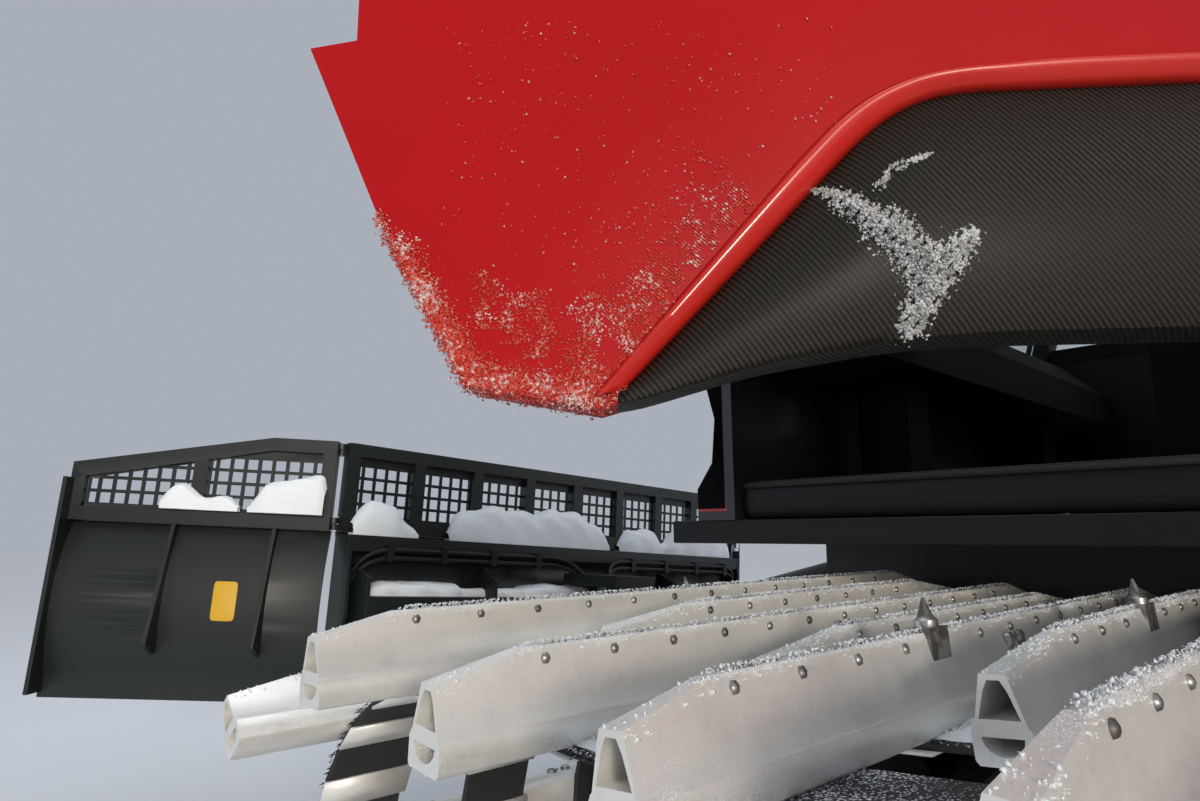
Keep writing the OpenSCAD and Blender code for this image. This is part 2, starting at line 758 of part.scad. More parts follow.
module door_shell() {
    color("firebrick") {
        difference() {
            door_plate(door_x - door_t, door_x, door_outline);
            door_plate(door_x - 15, door_x + 1, insert_outline);
        }
        difference() {
            for (z = hinge_zs) {
                translate([pin_x0, hinge_y, z]) cylinder(r = 16, h = knuckle_h);
                block([door_x - 2, hinge_y - 40, z], [pin_x0, hinge_y - 8, z + knuckle_h]);
                block([pin_x0 - 6, hinge_y - 40, z], [pin_x0 + 6, hinge_y - 2, z + knuckle_h]);
            }
            for (z = hinge_zs) translate([pin_x0, hinge_y, z - 1]) cylinder(r = hinge_pin_r, h = knuckle_h + 2);
        }
        door_plate(door_x - 1, door_x + lip_h, lip_outline);
    }
}

// The fixed half of the door hinges: two ears and a pin for each knuckle
module hinge_ears() {
    both_sides() for (z = hinge_zs) {
        translate([pin_x0, hinge_y, z - 12]) cylinder(r = hinge_pin_r - pin_gap, h = knuckle_h + 24);
        for (e = [z - 12 - pin_gap, z + knuckle_h + pin_gap]) {
            translate([pin_x0, hinge_y, e]) cylinder(r = 16, h = 12);
            block([nose_x - 20, hinge_y + door_gap, e], [pin_x0 + 16, hinge_y + door_gap + 40, e + 12]);
            block([pin_x0 - 16, hinge_y, e], [pin_x0 + 16, hinge_y + door_gap + 1, e + 12]);
        }
    }
}

module door_insert() {
    color("black") door_plate(door_x - 15, door_x - 2, insert_outline);
}

module window_plane(x0, x1) {
    translate([door_x, hinge_y, belt_line + door_t * sin(window_lean) + seat_gap]) rotate([0, -window_lean, 0])
        translate([x0, 0, 0]) rotate([90, 0, 90]) linear_extrude(x1 - x0) children();
}

module window_outline(inset) {
    front = door_len - ledge;
    back_top = front - window_h * tan(screen_lean) - 20;
    polygon([
        [-8 - inset, inset], [-8 - inset, window_h - 20 - inset],
        [-back_top + inset * 0.9, window_h - 20 - inset], [-front + inset * 1.2, inset]
    ]);
}

module door_window() {
    color("black") window_plane(-door_t, -10) difference() {
        window_outline(0);
        window_outline(65);
    }
}

module door_glass() {
    color("lightcyan") window_plane(-door_t / 2 - glass_t / 2, -door_t / 2 + glass_t / 2) window_outline(65);
}

// Turns a shut left door open about its hinge pins
module swung() {
    translate([pin_x0, hinge_y, 0]) rotate(door_open) translate([-pin_x0, -hinge_y, 0]) children();
}

module door_left_shell() { swung() door_shell(); }
module door_left_insert() { swung() door_insert(); }
module door_left_window() { swung() door_window(); }
module door_left_glass() { swung() door_glass(); }
module door_right_shell() { mirror([1, 0, 0]) door_shell(); }
module door_right_insert() { mirror([1, 0, 0]) door_insert(); }
module door_right_window() { mirror([1, 0, 0]) door_window(); }
module door_right_glass() { mirror([1, 0, 0]) door_glass(); }

turntable_y = blade_y + 480;
turntable_z = blade_z + board_h / 2 - 20;

// The roll shaft, and the swing pin that the blade's ears turn on
roll_r = 50;
swing_y = turntable_y - 70;
swing_r = 40;
ear_z = 135;

module push_frame() {
    color("black") difference() {
        union() {
            both_sides() {
                beam([arm_x, push_y, push_z], [arm_x, turntable_y + 180, turntable_z], arm_h, arm_w);
                pin_x(arm_x - 45 + pin_gap, arm_x + 45 - pin_gap, push_y, push_z, arm_eye_r);
                for (s = [-1, 1])
                    block([cyl_x + s * 45 - 12, lift_eye[1] - 45, lift_eye[2] - 130], [cyl_x + s * 45 + 12, lift_eye[1] + 45, lift_eye[2] + 40]);
                pin_x(cyl_x - 55, cyl_x + 55, lift_eye[1], lift_eye[2], eye_pin_r - pin_gap);
            }
            block([-arm_x - 45, turntable_y + 110, turntable_z - 90], [arm_x + 45, turntable_y + 200, turntable_z + 90]);
            block([-arm_x - 45, lift_eye[1] - 50, lift_eye[2] - 160], [arm_x + 45, lift_eye[1] + 50, lift_eye[2] - 70]);
        }
        pin_x(-600, 600, push_y, push_z, pivot_r);
        translate([0, turntable_y + 190, turntable_z]) rotate([90, 0, 0]) cylinder(r = roll_r, h = 100);
    }
}

module blade_turntable() {
    color("dimgray") tilted() {
        translate([0, turntable_y + 180, turntable_z]) rotate([90, 0, 0]) cylinder(r = roll_r - pin_gap, h = 200);
        translate([0, turntable_y + 110 - pin_gap, turntable_z]) rotate([90, 0, 0]) cylinder(r = 85, h = 140);
        translate([0, swing_y, turntable_z - ear_z + pin_gap]) cylinder(r = 90, h = 2 * (ear_z - pin_gap));
        translate([0, swing_y, turntable_z - ear_z - 50]) cylinder(r = swing_r - pin_gap, h = 2 * ear_z + 100);
    }
}

// The mouldboard's curve in (y, z), a ring's arc from the cutting edge to the top
module board_curve() {
    depth = board_r - sqrt(pow(board_r, 2) - pow(board_h / 2, 2));
    intersection() {
        translate([blade_y + depth - board_r, blade_z + board_h / 2]) difference() {
            circle(r = board_r + board_t, $fn = 96);
            circle(r = board_r, $fn = 96);
        }
        translate([blade_y, blade_z]) square([depth + board_t + 5, board_h]);
    }
}

board_depth = board_r - sqrt(pow(board_r, 2) - pow(board_h / 2, 2));

module board_section(x0, x1) {
    along_x(x0, x1) board_curve();
    along_x(x0, x1) polygon([
        [blade_y + 4, blade_z - 40], [blade_y + 24, blade_z - 40], [blade_y + 34, blade_z + 90], [blade_y + 14, blade_z + 90]
    ]);
}

// The guard over the board: its heights, its depth, and its mesh of square holes
guard_z0 = blade_z + board_h + seat_gap;
guard_z1 = guard_z0 + guard_h;
guard_y0 = blade_y + 10;
guard_y1 = guard_y0 + 50;
rail_d = 50;
mesh_t = 6;
mesh_step = 50;
mesh_bar = 12;

module guard_rails(x0, x1, posts) {
    block([x0, guard_y0, guard_z0], [x1, guard_y1, guard_z0 + rail_d + 10]);
    block([x0, guard_y0, guard_z1 - rail_d], [x1, guard_y1, guard_z1]);
    for (i = [0:posts]) {
        x = x0 + (x1 - x0 - rail_d) * i / posts;
        block([x, guard_y0, guard_z0 + 59], [x + rail_d, guard_y1, guard_z1 - 1]);
    }
}

// The mesh plate's square holes, drawn as (x, z)
module mesh_holes(x0, x1) {
    n = floor((x1 - x0) / mesh_step);
    for (i = [0:n - 1], k = [0:floor((guard_h - 2 * rail_d - 10) / mesh_step) - 1])
        translate([x0 + (i + 0.5) * (x1 - x0) / n, guard_z0 + rail_d + 10 + (k + 0.5) * mesh_step])
            square(mesh_step - mesh_bar, center = true);
}

module guard_mesh(x0, x1) {
    along_y(guard_y0 + 20, guard_y0 + 20 + mesh_t) difference() {
        translate([x0, guard_z0 + rail_d]) square([x1 - x0, guard_h - 2 * rail_d + 10]);
        mesh_holes(x0, x1);
    }
}

module blade_centre() {
    back = blade_y + board_depth;
    mid = blade_z + board_h / 2;
    color("black") tilted() difference() {
        union() {
            board_section(-blade_x, blade_x);
            for (k = [-2:2]) let (x = k * (blade_x - 50) / 2) along_x(x - 8, x + 8) polygon([
                [back + 8, mid - 180], [back + 160, mid - 130], [back + 160, mid + 130], [back + 8, mid + 180]
            ]);
            block([-blade_x + 42, back + 60, mid - 60], [blade_x - 42, back + 170, mid + 60]);
            block([-blade_x, blade_y + 12, blade_z + board_h - 70], [blade_x, blade_y + 130, blade_z + board_h - 10]);
            both_sides() along_x(blade_x - 14, blade_x) polygon([
                [blade_y + 10, blade_z], [back + 60, mid - 150], [back + 90, mid], [blade_y + 130, blade_z + board_h - 11],
                [blade_y + 10, blade_z + board_h - 11]
            ]);
            for (z = [turntable_z - ear_z - 50, turntable_z + ear_z])
                block([-120, back + 60, z], [120, swing_y + 60, z + 50]);
        }
        translate([0, swing_y, turntable_z - 300]) cylinder(r = swing_r, h = 600);
    }
}

module blade_guard() {
    color("black") tilted() {
        difference() {
            union() {
                guard_rails(-blade_x, blade_x, 8);
                guard_mesh(-blade_x + 25, blade_x - 25);
            }
            for (side = [0, 1]) wing_knuckle_gap(side, wing_knuckle);
        }
        for (side = [0, 1]) wing_knuckles(side) {
            cylinder(r = 18, h = wing_knuckle);
            translate([-16, 0, 0]) cube([16, 20, wing_knuckle]);
            cylinder(r = wing_pin_r - pin_gap, h = 2 * wing_knuckle + 3);
        }
    }
}

// The wing hinges' places: each is the foot of a pair of knuckles
wing_pin_x = blade_x + 5;
wing_hinges = [guard_z0 + 5, guard_z1 - 49];
wing_knuckle = 22;
wing_pin_r = 9;

module wing_knuckles(x_side) {
    for (z = wing_hinges) mirror([x_side, 0, 0]) translate([wing_pin_x, blade_y, z]) children();
}

module wing_knuckle_gap(x_side, z) {
    wing_knuckles(x_side) translate([0, 0, z]) cylinder(r = 25, h = wing_knuckle + 6);
}

// How far the wing's top edge falls to its outer end, and where the fall starts
wing_fall = 130;
wing_flat = 0.25;

module wing_edge(inset) {
    x0 = blade_x + 10;
    x1 = blade_x + wing_len;
    polygon([
        [x0 + inset, guard_z0 + inset], [x1 - inset, guard_z0 + inset], [x1 - inset, guard_z1 - wing_fall - inset],
        [x0 + wing_flat * wing_len, guard_z1 - inset], [x0 + inset, guard_z1 - inset]
    ]);
}

module wing_guard() {
    x_mid = blade_x + wing_len / 2;
    along_y(guard_y0, guard_y1) difference() {
        wing_edge(0);
        wing_edge(rail_d);
    }
    along_y(guard_y0 + 1, guard_y1 - 1) intersection() {
        wing_edge(1);
        translate([x_mid, guard_z0]) square([rail_d, guard_h]);
    }
    along_y(guard_y0 + 20, guard_y0 + 20 + mesh_t) difference() {
        wing_edge(20);
        intersection() {
            wing_edge(rail_d + 4);
            mesh_holes(blade_x + 40, blade_x + wing_len - 40);
        }
    }
}

module wing() {
    difference() {
        union() {
            difference() {
                wing_guard();
                wing_knuckle_gap(0, -3);
            }
            wing_knuckles(0) translate([0, 0, wing_knuckle + 3]) cylinder(r = 18, h = wing_knuckle);
            wing_knuckles(0) block([0, 0, wing_knuckle + 3], [16, 20, 2 * wing_knuckle + 3]);
        }
        wing_knuckles(0) cylinder(r = wing_pin_r, h = 60);
    }
    board_section(blade_x + 10, blade_x + wing_len);
    for (x = [blade_x + 200, blade_x + 560])
        along_x(x, x + 14) polygon([
            [blade_y + board_depth + 8, blade_z + 120], [blade_y + board_depth + 90, blade_z + 160],
            [blade_y + 56, guard_z0 + 5], [blade_y + 20, guard_z0 + 5]
        ]);
    along_x(blade_x + wing_len - 14, blade_x + wing_len) polygon([
        [blade_y - 160, blade_z - 20], [blade_y + 110, blade_z - 20], [blade_y + 110, guard_z1 - wing_fall - 60],
        [blade_y - 20, guard_z1 - wing_fall - 60]
    ]);
}

module wing_turned() {
    translate([blade_x + 5, blade_y, 0]) rotate(-wing_turn) translate([-blade_x - 5, -blade_y, 0]) children();
}

// Rolls what hangs on the turntable about its shaft
module tilted() {
    translate([0, 0, turntable_z]) rotate([0, -blade_tilt, 0]) translate([0, 0, -turntable_z]) children();
}

module wing_left() { color("black") tilted() wing_turned() wing(); }
module wing_right() { color("black") tilted() mirror([1, 0, 0]) wing_turned() wing(); }

lift_foot = [cyl_x, frame_front - 70, deck_z - 75];
lift_eye = [cyl_x, -2905, 760];
rod_r = 24;

// A pair of hydraulic barrels from their feet towards their rods' eyes, bored for the rods
module barrels(foot, eye, len) {
    d = (eye - foot) / norm(eye - foot);
    color("black") both_sides() difference() {
        union() {
            rod(foot + d * 20, foot + d * len, 42);
            pin_x(cyl_x - 45 + pin_gap, cyl_x + 45 - pin_gap, foot[1], foot[2], 38);
        }
        pin_x(cyl_x - 70, cyl_x + 70, foot[1], foot[2], eye_pin_r);
        rod(foot + d * 120, foot + d * (len + 1), rod_r + pin_gap);
    }
}

// Their rods, which start the given distance from the feet
module rods(foot, eye, start) {
    d = (eye - foot) / norm(eye - foot);
    color("silver") both_sides() difference() {
        union() {
            rod(foot + d * start, eye - d * 10, rod_r);
            pin_x(cyl_x - 28, cyl_x + 28, eye[1], eye[2], 36);
        }
        pin_x(cyl_x - 60, cyl_x + 60, eye[1], eye[2], eye_pin_r + 6);
    }
}

module lift_barrels() { barrels(lift_foot, lift_eye, 540); }
module lift_rods() { rods(lift_foot, lift_eye, 260); }

// The tiller's front face, and the rear lift's head that carries it
cover_r = tooth_r + 45;
tiller_front = tiller_y - cover_r - seat_gap;
head_y = tiller_front - 120;
rear_foot = [cyl_x, frame_rear + 70, deck_z - 75];
rear_eye = [cyl_x, head_y - 60, tiller_z + 260];

module rear_lift_frame() {
    color("black") difference() {
        union() {
            both_sides() {
                beam([arm_x, lift_y, lift_z], [arm_x, head_y + 20, tiller_z + 130], arm_h, arm_w);
                pin_x(arm_x - 45 + pin_gap, arm_x + 45 - pin_gap, lift_y, lift_z, arm_eye_r);
                for (s = [-1, 1])
                    block([cyl_x + s * 45 - 12, rear_eye[1] - 45, rear_eye[2] - 45], [cyl_x + s * 45 + 12, head_y + 10, rear_eye[2] + 45]);
                pin_x(cyl_x - 55, cyl_x + 55, rear_eye[1], rear_eye[2], eye_pin_r - pin_gap);
            }
            block([-arm_x - 45, head_y, tiller_z + 30], [arm_x + 45, tiller_front, tiller_z + 180]);
            block([-arm_x - 45, head_y, tiller_z + 170], [arm_x + 45, head_y + 60, rear_eye[2] + 60]);
        }
        pin_x(-600, 600, lift_y, lift_z, pivot_r);
    }
}

module tiller_cover() {
    r = cover_r;
    color("darkred") difference() {
        along_x(-tiller_x, tiller_x) polygon([
            [tiller_y - r, tiller_z - 30], [tiller_y - r, tiller_z + 100], [tiller_y - r + 100, tiller_z + r],
            [tiller_y + r - 110, tiller_z + r], [tiller_y + r + 30, tiller_z + 60], [tiller_y + r + 30, tiller_z - 70],
            [tiller_y + 60, tiller_z - 130], [tiller_y - 60, tiller_z - 130]
        ]);
        along_x(-tiller_x + 25, tiller_x - 25) polygon([
            [tiller_y - r + 15, tiller_z - 300], [tiller_y - r + 15, tiller_z + 94], [tiller_y - r + 106, tiller_z + r - 15],
            [tiller_y + r - 117, tiller_z + r - 15], [tiller_y + r + 15, tiller_z + 54], [tiller_y + r + 15, tiller_z - 300]
        ]);
        pin_x(-tiller_x - 1, tiller_x + 1, tiller_y, tiller_z, journal_r);
    }
}

// Radius of the shaft's journals in the cover's end plates
journal_r = 45;

module tiller_shaft() {
    len = 2 * tiller_x - 70;
    color("silver") pin_x(-tiller_x + 4, tiller_x - 4, tiller_y, tiller_z, journal_r - pin_gap);
    color("silver") translate([-len / 2, tiller_y, tiller_z]) rotate([0, 90, 0]) {
        cylinder(r = shaft_r, h = len);
        for (i = [0:tooth_rows - 1]) let (x = 60 + i * (len - 140) / (tooth_rows - 1))
            translate([0, 0, x]) linear_extrude(20) rotate(i * 23) polygon([
                for (k = [0:5], c = [[-16, shaft_r - 8], [-5, tooth_r], [5, tooth_r], [16, shaft_r - 8]])
                    [c[1] * cos(k * 60 + c[0]), c[1] * sin(k * 60 + c[0])]
            ]);
    }
}

module finisher() {
    y0 = tiller_y + cover_r + 30 + seat_gap;
    y1 = y0 + finisher_len;
    color("black") along_x(-tiller_x, tiller_x) polygon([
        [y0, tiller_z - 50], [y0, tiller_z - 20], [y0 + 350, tiller_z - 210], [y1, tiller_z - 250],
        [y1, tiller_z - 275], [y0 + 340, tiller_z - 240]
    ]);
}

module rear_barrels() { barrels(rear_foot, rear_eye, 500); }
module rear_rods() { rods(rear_foot, rear_eye, 260); }

track_left();
track_right();
tyres();
wheel_rims();
drive_sprockets();
axles();
idler_arms();
chassis_frame();
body_deck();
engine_block();
engine_hood();
hood_grilles();
load_bed();
bed_rails();
exhaust_stack();
air_intake();
cab_nose();
cab_rear_wall();
cab_pillars();
cab_roof();
windscreen();
rear_window();
headlamps();
roof_lamps();
beacon();
mirrors();
wipers();
dashboard();
seat_bases();
seat_cushions();
steering_console();
door_left_shell();
door_left_insert();
door_left_window();
door_left_glass();
door_right_shell();
door_right_insert();
door_right_window();
door_right_glass();
push_frame();
blade_turntable();
blade_centre();
blade_guard();
wing_left();
wing_right();
lift_barrels();
lift_rods();
rear_lift_frame();
tiller_cover();
tiller_shaft();
finisher();
rear_barrels();
rear_rods();
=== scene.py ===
# Tracked snow groomer, dressed over its CAD frame: metres, front is -Y, machine's left is +X.
import json
import bmesh
import bpy
import numpy as np
from mathutils import Matrix, Vector
from mathutils.geometry import tessellate_polygon


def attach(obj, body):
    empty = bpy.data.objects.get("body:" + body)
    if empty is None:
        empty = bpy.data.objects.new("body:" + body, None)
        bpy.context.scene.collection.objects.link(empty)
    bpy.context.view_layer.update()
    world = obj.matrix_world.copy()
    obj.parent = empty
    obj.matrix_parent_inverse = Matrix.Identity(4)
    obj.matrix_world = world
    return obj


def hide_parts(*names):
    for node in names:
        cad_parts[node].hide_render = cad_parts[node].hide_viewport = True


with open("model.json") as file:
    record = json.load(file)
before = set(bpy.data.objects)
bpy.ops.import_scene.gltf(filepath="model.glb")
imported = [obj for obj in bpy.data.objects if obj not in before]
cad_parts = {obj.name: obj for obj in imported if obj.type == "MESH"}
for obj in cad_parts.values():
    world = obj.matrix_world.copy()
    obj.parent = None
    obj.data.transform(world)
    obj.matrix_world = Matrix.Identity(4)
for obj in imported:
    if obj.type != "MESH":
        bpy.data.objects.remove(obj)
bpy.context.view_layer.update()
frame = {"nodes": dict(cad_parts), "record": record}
nodes = frame["nodes"]

# The camera stands beside the left track, a step behind the door's hinges,
# and looks forward and inward over the cross bars to the blade.
lens_mm, sensor_mm, near_clip = 23.27, 36.0, 0.02
eye = Vector((2.476, -0.94, 1.0535))
yaw, pitch, roll = np.radians([46.883, 9.696, -0.25])


def made(thing, **settings):
    """The same thing, with its settings made."""
    for setting, value in settings.items():
        setattr(thing, setting, value)
    return thing


def linked(name, data):
    """A new object with this data, put in the scene."""
    obj = bpy.data.objects.new(name, data)
    bpy.context.scene.collection.objects.link(obj)
    return obj


ahead = Vector((-np.cos(yaw) * np.cos(pitch), -np.sin(yaw) * np.cos(pitch), np.sin(pitch)))
right = ahead.cross(Vector((0, 0, 1))).normalized()
up = right.cross(ahead)
right, up = right * np.cos(roll) + up * np.sin(roll), up * np.cos(roll) - right * np.sin(roll)
camera_data = bpy.data.cameras.new("camera")
camera = linked("camera", made(camera_data, lens=lens_mm, sensor_width=sensor_mm, clip_start=near_clip))
camera.matrix_world = Matrix.Translation(eye) @ Matrix((right, up, -ahead)).transposed().to_4x4()
bpy.context.scene.camera = camera


# The studio: a pale floor, a pale world, two large soft lamps overhead and a low warm light from
# behind, which reaches the bars' sides as the evening light does.
world_tone, world_strength = (0.74, 0.80, 0.90, 1.0), 0.54
floor_tone, floor_roughness, reach = (0.80, 0.82, 0.85, 1.0), 0.85, 60.0


def lamp(name, kind, place, heading, power, tint, **settings):
    """A lamp at a place, which shines along its heading."""
    data = made(bpy.data.lights.new(name, kind), energy=power, color=tint, **settings)
    aim = Vector(heading).to_track_quat("-Z", "Y").to_matrix().to_4x4()
    linked(name, data).matrix_world = Matrix.Translation(place) @ aim


lamp("sky_lamp", "AREA", (0.5, -3.0, 9.5), (-0.5, 2.0, -9.0), 230, (0.90, 0.95, 1.0), size=7.0)
lamp("rim_lamp", "AREA", (-7.0, 3.5, 6.0), (7.0, -3.0, -5.0), 220, (0.94, 0.97, 1.0), size=5.0)
lamp("low_light", "SUN", (0, 0, 0), (-0.46, -0.87, -0.17), 1.9, (1.0, 0.91, 0.78), angle=np.radians(14))

world = bpy.data.worlds.new("studio")
bpy.context.scene.world = world
world.use_nodes = True
world.node_tree.nodes["Background"].inputs["Color"].default_value = world_tone
world.node_tree.nodes["Background"].inputs["Strength"].default_value = world_strength
bpy.context.scene.view_settings.view_transform = "Standard"

floor_mesh = bpy.data.meshes.new("floor")
corners = [(-reach, -reach, 0), (reach, -reach, 0), (reach, reach, 0), (-reach, reach, 0)]
floor_mesh.from_pydata(corners, [], [(0, 1, 2, 3)])
floor = linked("floor", floor_mesh)
floor_paint = bpy.data.materials.new("pale_floor")
floor_paint.use_nodes = True
floor_sockets = floor_paint.node_tree.nodes["Principled BSDF"].inputs
floor_sockets["Base Color"].default_value = floor_tone
floor_sockets["Roughness"].default_value = floor_roughness
floor_mesh.materials.append(floor_paint)


# Tracks. Each is five endless rubber belts with extruded aluminium cross bars clamped on them,
# long and short in turn. The bars are hollow, cut off slanted at their ends, and carry a riveted
# steel tooth strip along the top. Packed snow and frost sit on bars and belts.
both_sides = ((1, "left"), (-1, "right"))
track_inner, track_outer = 0.650, 2.100
bar_height, bar_pitch, end_slant, end_drop = 0.100, 0.120, 0.116, 0.026
short_outer, short_inner = 0.330, 0.110
belt_thick, belt_width, belt_places = 0.010, 0.130, track_outer - 0.215 - 0.255 * np.arange(5)
wheel_radius, wheel_ys, axle_height = 0.370, -1.115 + 0.760 * np.arange(4), 0.4803
idler_place, idler_radius = (-1.810, 0.549), 0.305
sprocket_place, sprocket_radius = (1.905, 0.565), 0.285
belt_clear, wheel_ease, sag_radius, top_dip = 0.008, 0.092, 1.500, 0.026


def make_mesh(name, points, faces):
    """A mesh from an array of points and a list of face arrays, one for each number of corners."""
    mesh = bpy.data.meshes.new(name)
    counts = np.concatenate([np.full(len(f), f.shape[1]) for f in faces])
    corners = np.concatenate([f.ravel() for f in faces])
    mesh.vertices.add(len(points))
    mesh.vertices.foreach_set("co", np.asarray(points, np.float32).ravel())
    mesh.loops.add(len(corners))
    mesh.loops.foreach_set("vertex_index", corners)
    mesh.polygons.add(len(counts))
    mesh.polygons.foreach_set("loop_start", np.cumsum(counts) - counts)
    mesh.update(calc_edges=True)
    mesh.validate()
    return mesh


def volume(points, faces):
    """Signed volume, as tetrahedra from the origin to each face: below 0 where faces point inwards."""
    total = 0.0
    for face in faces:
        p = points[face]
        for k in range(1, face.shape[1] - 1):
            total += np.einsum("ij,ij", p[:, 0], np.cross(p[:, k], p[:, k + 1]))
    return total / 6


def piece(name, points, faces, paint, slot, body="root", smooth=False, closed=True):
    """A mesh object of the machine, painted, riding on its body. Smooth is an angle in degrees. A
    closed shape that is inside out is turned round."""
    if closed and volume(points, faces) < 0:
        faces = [face[:, ::-1] for face in faces]
    mesh = make_mesh(name, points, faces)
    obj = linked(name, mesh)
    mesh.materials.append(paint)
    if smooth:
        mesh.shade_smooth()
        mesh.set_sharp_from_angle(angle=np.radians(smooth))
    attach(obj, body)
    return obj


def repeated(points, faces, turns, places):
    """Copies of one small shape, each turned by its own 3 by 3 matrix and moved to its own place."""
    spots = np.einsum("mij,nj->mni", turns, points) + places[:, None, :]
    step = len(points) * np.arange(len(places))
    return spots.reshape(-1, 3), [(f[None] + step[:, None, None]).reshape(-1, f.shape[1]) for f in faces]


def joined(*shapes):
    """Several (points, faces) shapes as one."""
    start = np.cumsum([0] + [len(p) for p, f in shapes[:-1]])
    return (np.concatenate([p for p, f in shapes]),
            [face + n for (p, f), n in zip(shapes, start) for face in f])


def swept(rings, closed=True, caps=False):
    """Quads over an array of rings, shape (rings, points, 3). Closed joins each ring's ends."""
    m, n = rings.shape[:2]
    i = np.arange(m - 1)[:, None]
    j = np.arange(n if closed else n - 1)[None]
    k = (j + 1) % n
    quads = np.stack([i * n + j, i * n + k, (i + 1) * n + k, (i + 1) * n + j], -1).reshape(-1, 4)
    faces = [quads]
    if caps:
        faces += [np.arange(n)[None, ::-1], (m - 1) * n + np.arange(n)[None]]
    return rings.reshape(-1, 3), faces


def lathe(profile, sides):
    """A profile of (radius, height) pairs turned about the Z axis, its two ends capped."""
    profile = np.asarray(profile, float)
    a = 2 * np.pi * np.arange(sides) / sides
    rings = np.stack([profile[:, :1] * np.cos(a), profile[:, :1] * np.sin(a),
                      profile[:, 1:] + 0 * a], -1)
    return swept(rings, caps=True)


def box_shape(low, high):
    """A plain block between two corners, for small plates and feet."""
    low, high = np.asarray(low, float), np.asarray(high, float)
    pick = np.array([[0, 0, 0], [1, 0, 0], [1, 1, 0], [0, 1, 0], [0, 0, 1], [1, 0, 1], [1, 1, 1], [0, 1, 1]])
    faces = np.array([[0, 3, 2, 1], [4, 5, 6, 7], [0, 1, 5, 4], [1, 2, 6, 5], [2, 3, 7, 6], [3, 0, 4, 7]])
    return low + pick * (high - low), [faces]


def add(owner, kind, inputs=None, **settings):
    """A shader node in the tree that owner belongs to, with its settings made, and its inputs given
    a value or linked to a socket."""
    tree = owner.id_data
    node = made(tree.nodes.new(kind), **settings)
    for name, value in (inputs or {}).items():
        if isinstance(value, bpy.types.NodeSocket):
            tree.links.new(value, node.inputs[name])
        else:
            node.inputs[name].default_value = value
    return node


def finish_of(name, **sockets):
    """A new material and its Principled shader, with these plain values on its sockets."""
    paint = bpy.data.materials.new(name)
    paint.use_nodes = True
    shader = paint.node_tree.nodes["Principled BSDF"]
    for socket, value in sockets.items():
        shader.inputs[socket.replace("_", " ")].default_value = value
    return paint, shader


def calc(operation, a, b, c=0.0):
    """One step of arithmetic on a socket a, with numbers or further sockets."""
    return add(a, "ShaderNodeMath", {0: a, 1: b, 2: c}, operation=operation).outputs[0]


def scaled(value, factor, plus=0.0):
    """Value times factor, plus a second value."""
    return calc("MULTIPLY_ADD", value, factor, plus)


def between(value, low, high):
    """Value's rise from 0 at low to 1 at high, eased at both ends."""
    return add(value, "ShaderNodeMapRange", {"Value": value, "From Min": low, "From Max": high},
               interpolation_type="SMOOTHSTEP").outputs[0]


def mixed(mask, a, b):
    """Colour a where mask is 0, and b where it is 1."""
    a, b = ((*colour, 1.0) if isinstance(colour, tuple) else colour for colour in (a, b))
    return add(mask, "ShaderNodeMix", {"Factor": mask, 6: a, 7: b}, data_type="RGBA").outputs[2]


def place_in(owner):
    """Where on its object the shaded point is, in metres."""
    return add(owner, "ShaderNodeTexCoord").outputs["Object"]


def noise(place, scale, detail=2.0, roughness=0.5):
    """Cloudy noise about a middle of 0.5, finer as its scale grows."""
    inputs = {"Vector": place, "Scale": scale, "Detail": detail, "Roughness": roughness}
    return add(place, "ShaderNodeTexNoise", inputs).outputs[0]


def stripes(place, scale, direction, **more):
    """Waves between 0 and 1 that follow each other in one direction."""
    inputs = {"Vector": place, "Scale": scale, **more}
    return add(place, "ShaderNodeTexWave", inputs, bands_direction=direction).outputs[1]


def feed(shader, **sockets):
    """Links values that change over the surface to the shader's sockets."""
    for socket, value in sockets.items():
        shader.id_data.links.new(value, shader.inputs[socket.replace("_", " ")])


def bumped(shader, height, strength, distance):
    """Feeds a height into the shader's normal."""
    bump = add(shader, "ShaderNodeBump", {"Height": height, "Strength": strength, "Distance": distance})
    feed(shader, Normal=bump.outputs[0])


# Frost: fine grains in patches. Upward faces catch more of it.
frost = bpy.data.node_groups.new("frost_cover", "ShaderNodeTree")
for socket in ("Patch Scale", "Grain Scale", "Amount", "Upward"):
    frost.interface.new_socket(socket, in_out="INPUT", socket_type="NodeSocketFloat")
for socket in ("Mask", "Height"):
    frost.interface.new_socket(socket, in_out="OUTPUT", socket_type="NodeSocketFloat")
given, out = frost.nodes.new("NodeGroupInput").outputs, frost.nodes.new("NodeGroupOutput").inputs
place = place_in(frost)
patches = noise(place, given["Patch Scale"], 5.0)
cells = add(frost, "ShaderNodeTexVoronoi", {"Vector": place, "Scale": given["Grain Scale"]})
grains = cells.outputs["Distance"]
facing = add(frost, "ShaderNodeSeparateXYZ", {0: add(frost, "ShaderNodeNewGeometry").outputs["Normal"]})
lift = scaled(facing.outputs["Z"], given["Upward"], patches)
speck = scaled(grains, -0.9, 0.9 * 0.62)
cover = between(calc("ADD", calc("ADD", lift, given["Amount"]), speck), 1.18, 1.42)
frost.links.new(cover, out["Mask"])
frost.links.new(calc("MULTIPLY", cover, scaled(grains, -1.0, 1.0)), out["Height"])


def frosted(owner, patch, grain, amount, upward):
    """The frost group placed in a material with its own values: its mask and its height."""
    inputs = {"Patch Scale": patch, "Grain Scale": grain, "Amount": amount, "Upward": upward}
    node = add(owner, "ShaderNodeGroup", inputs, node_tree=frost)
    return node.outputs["Mask"], node.outputs["Height"]


snow_white = (0.90, 0.92, 0.95)

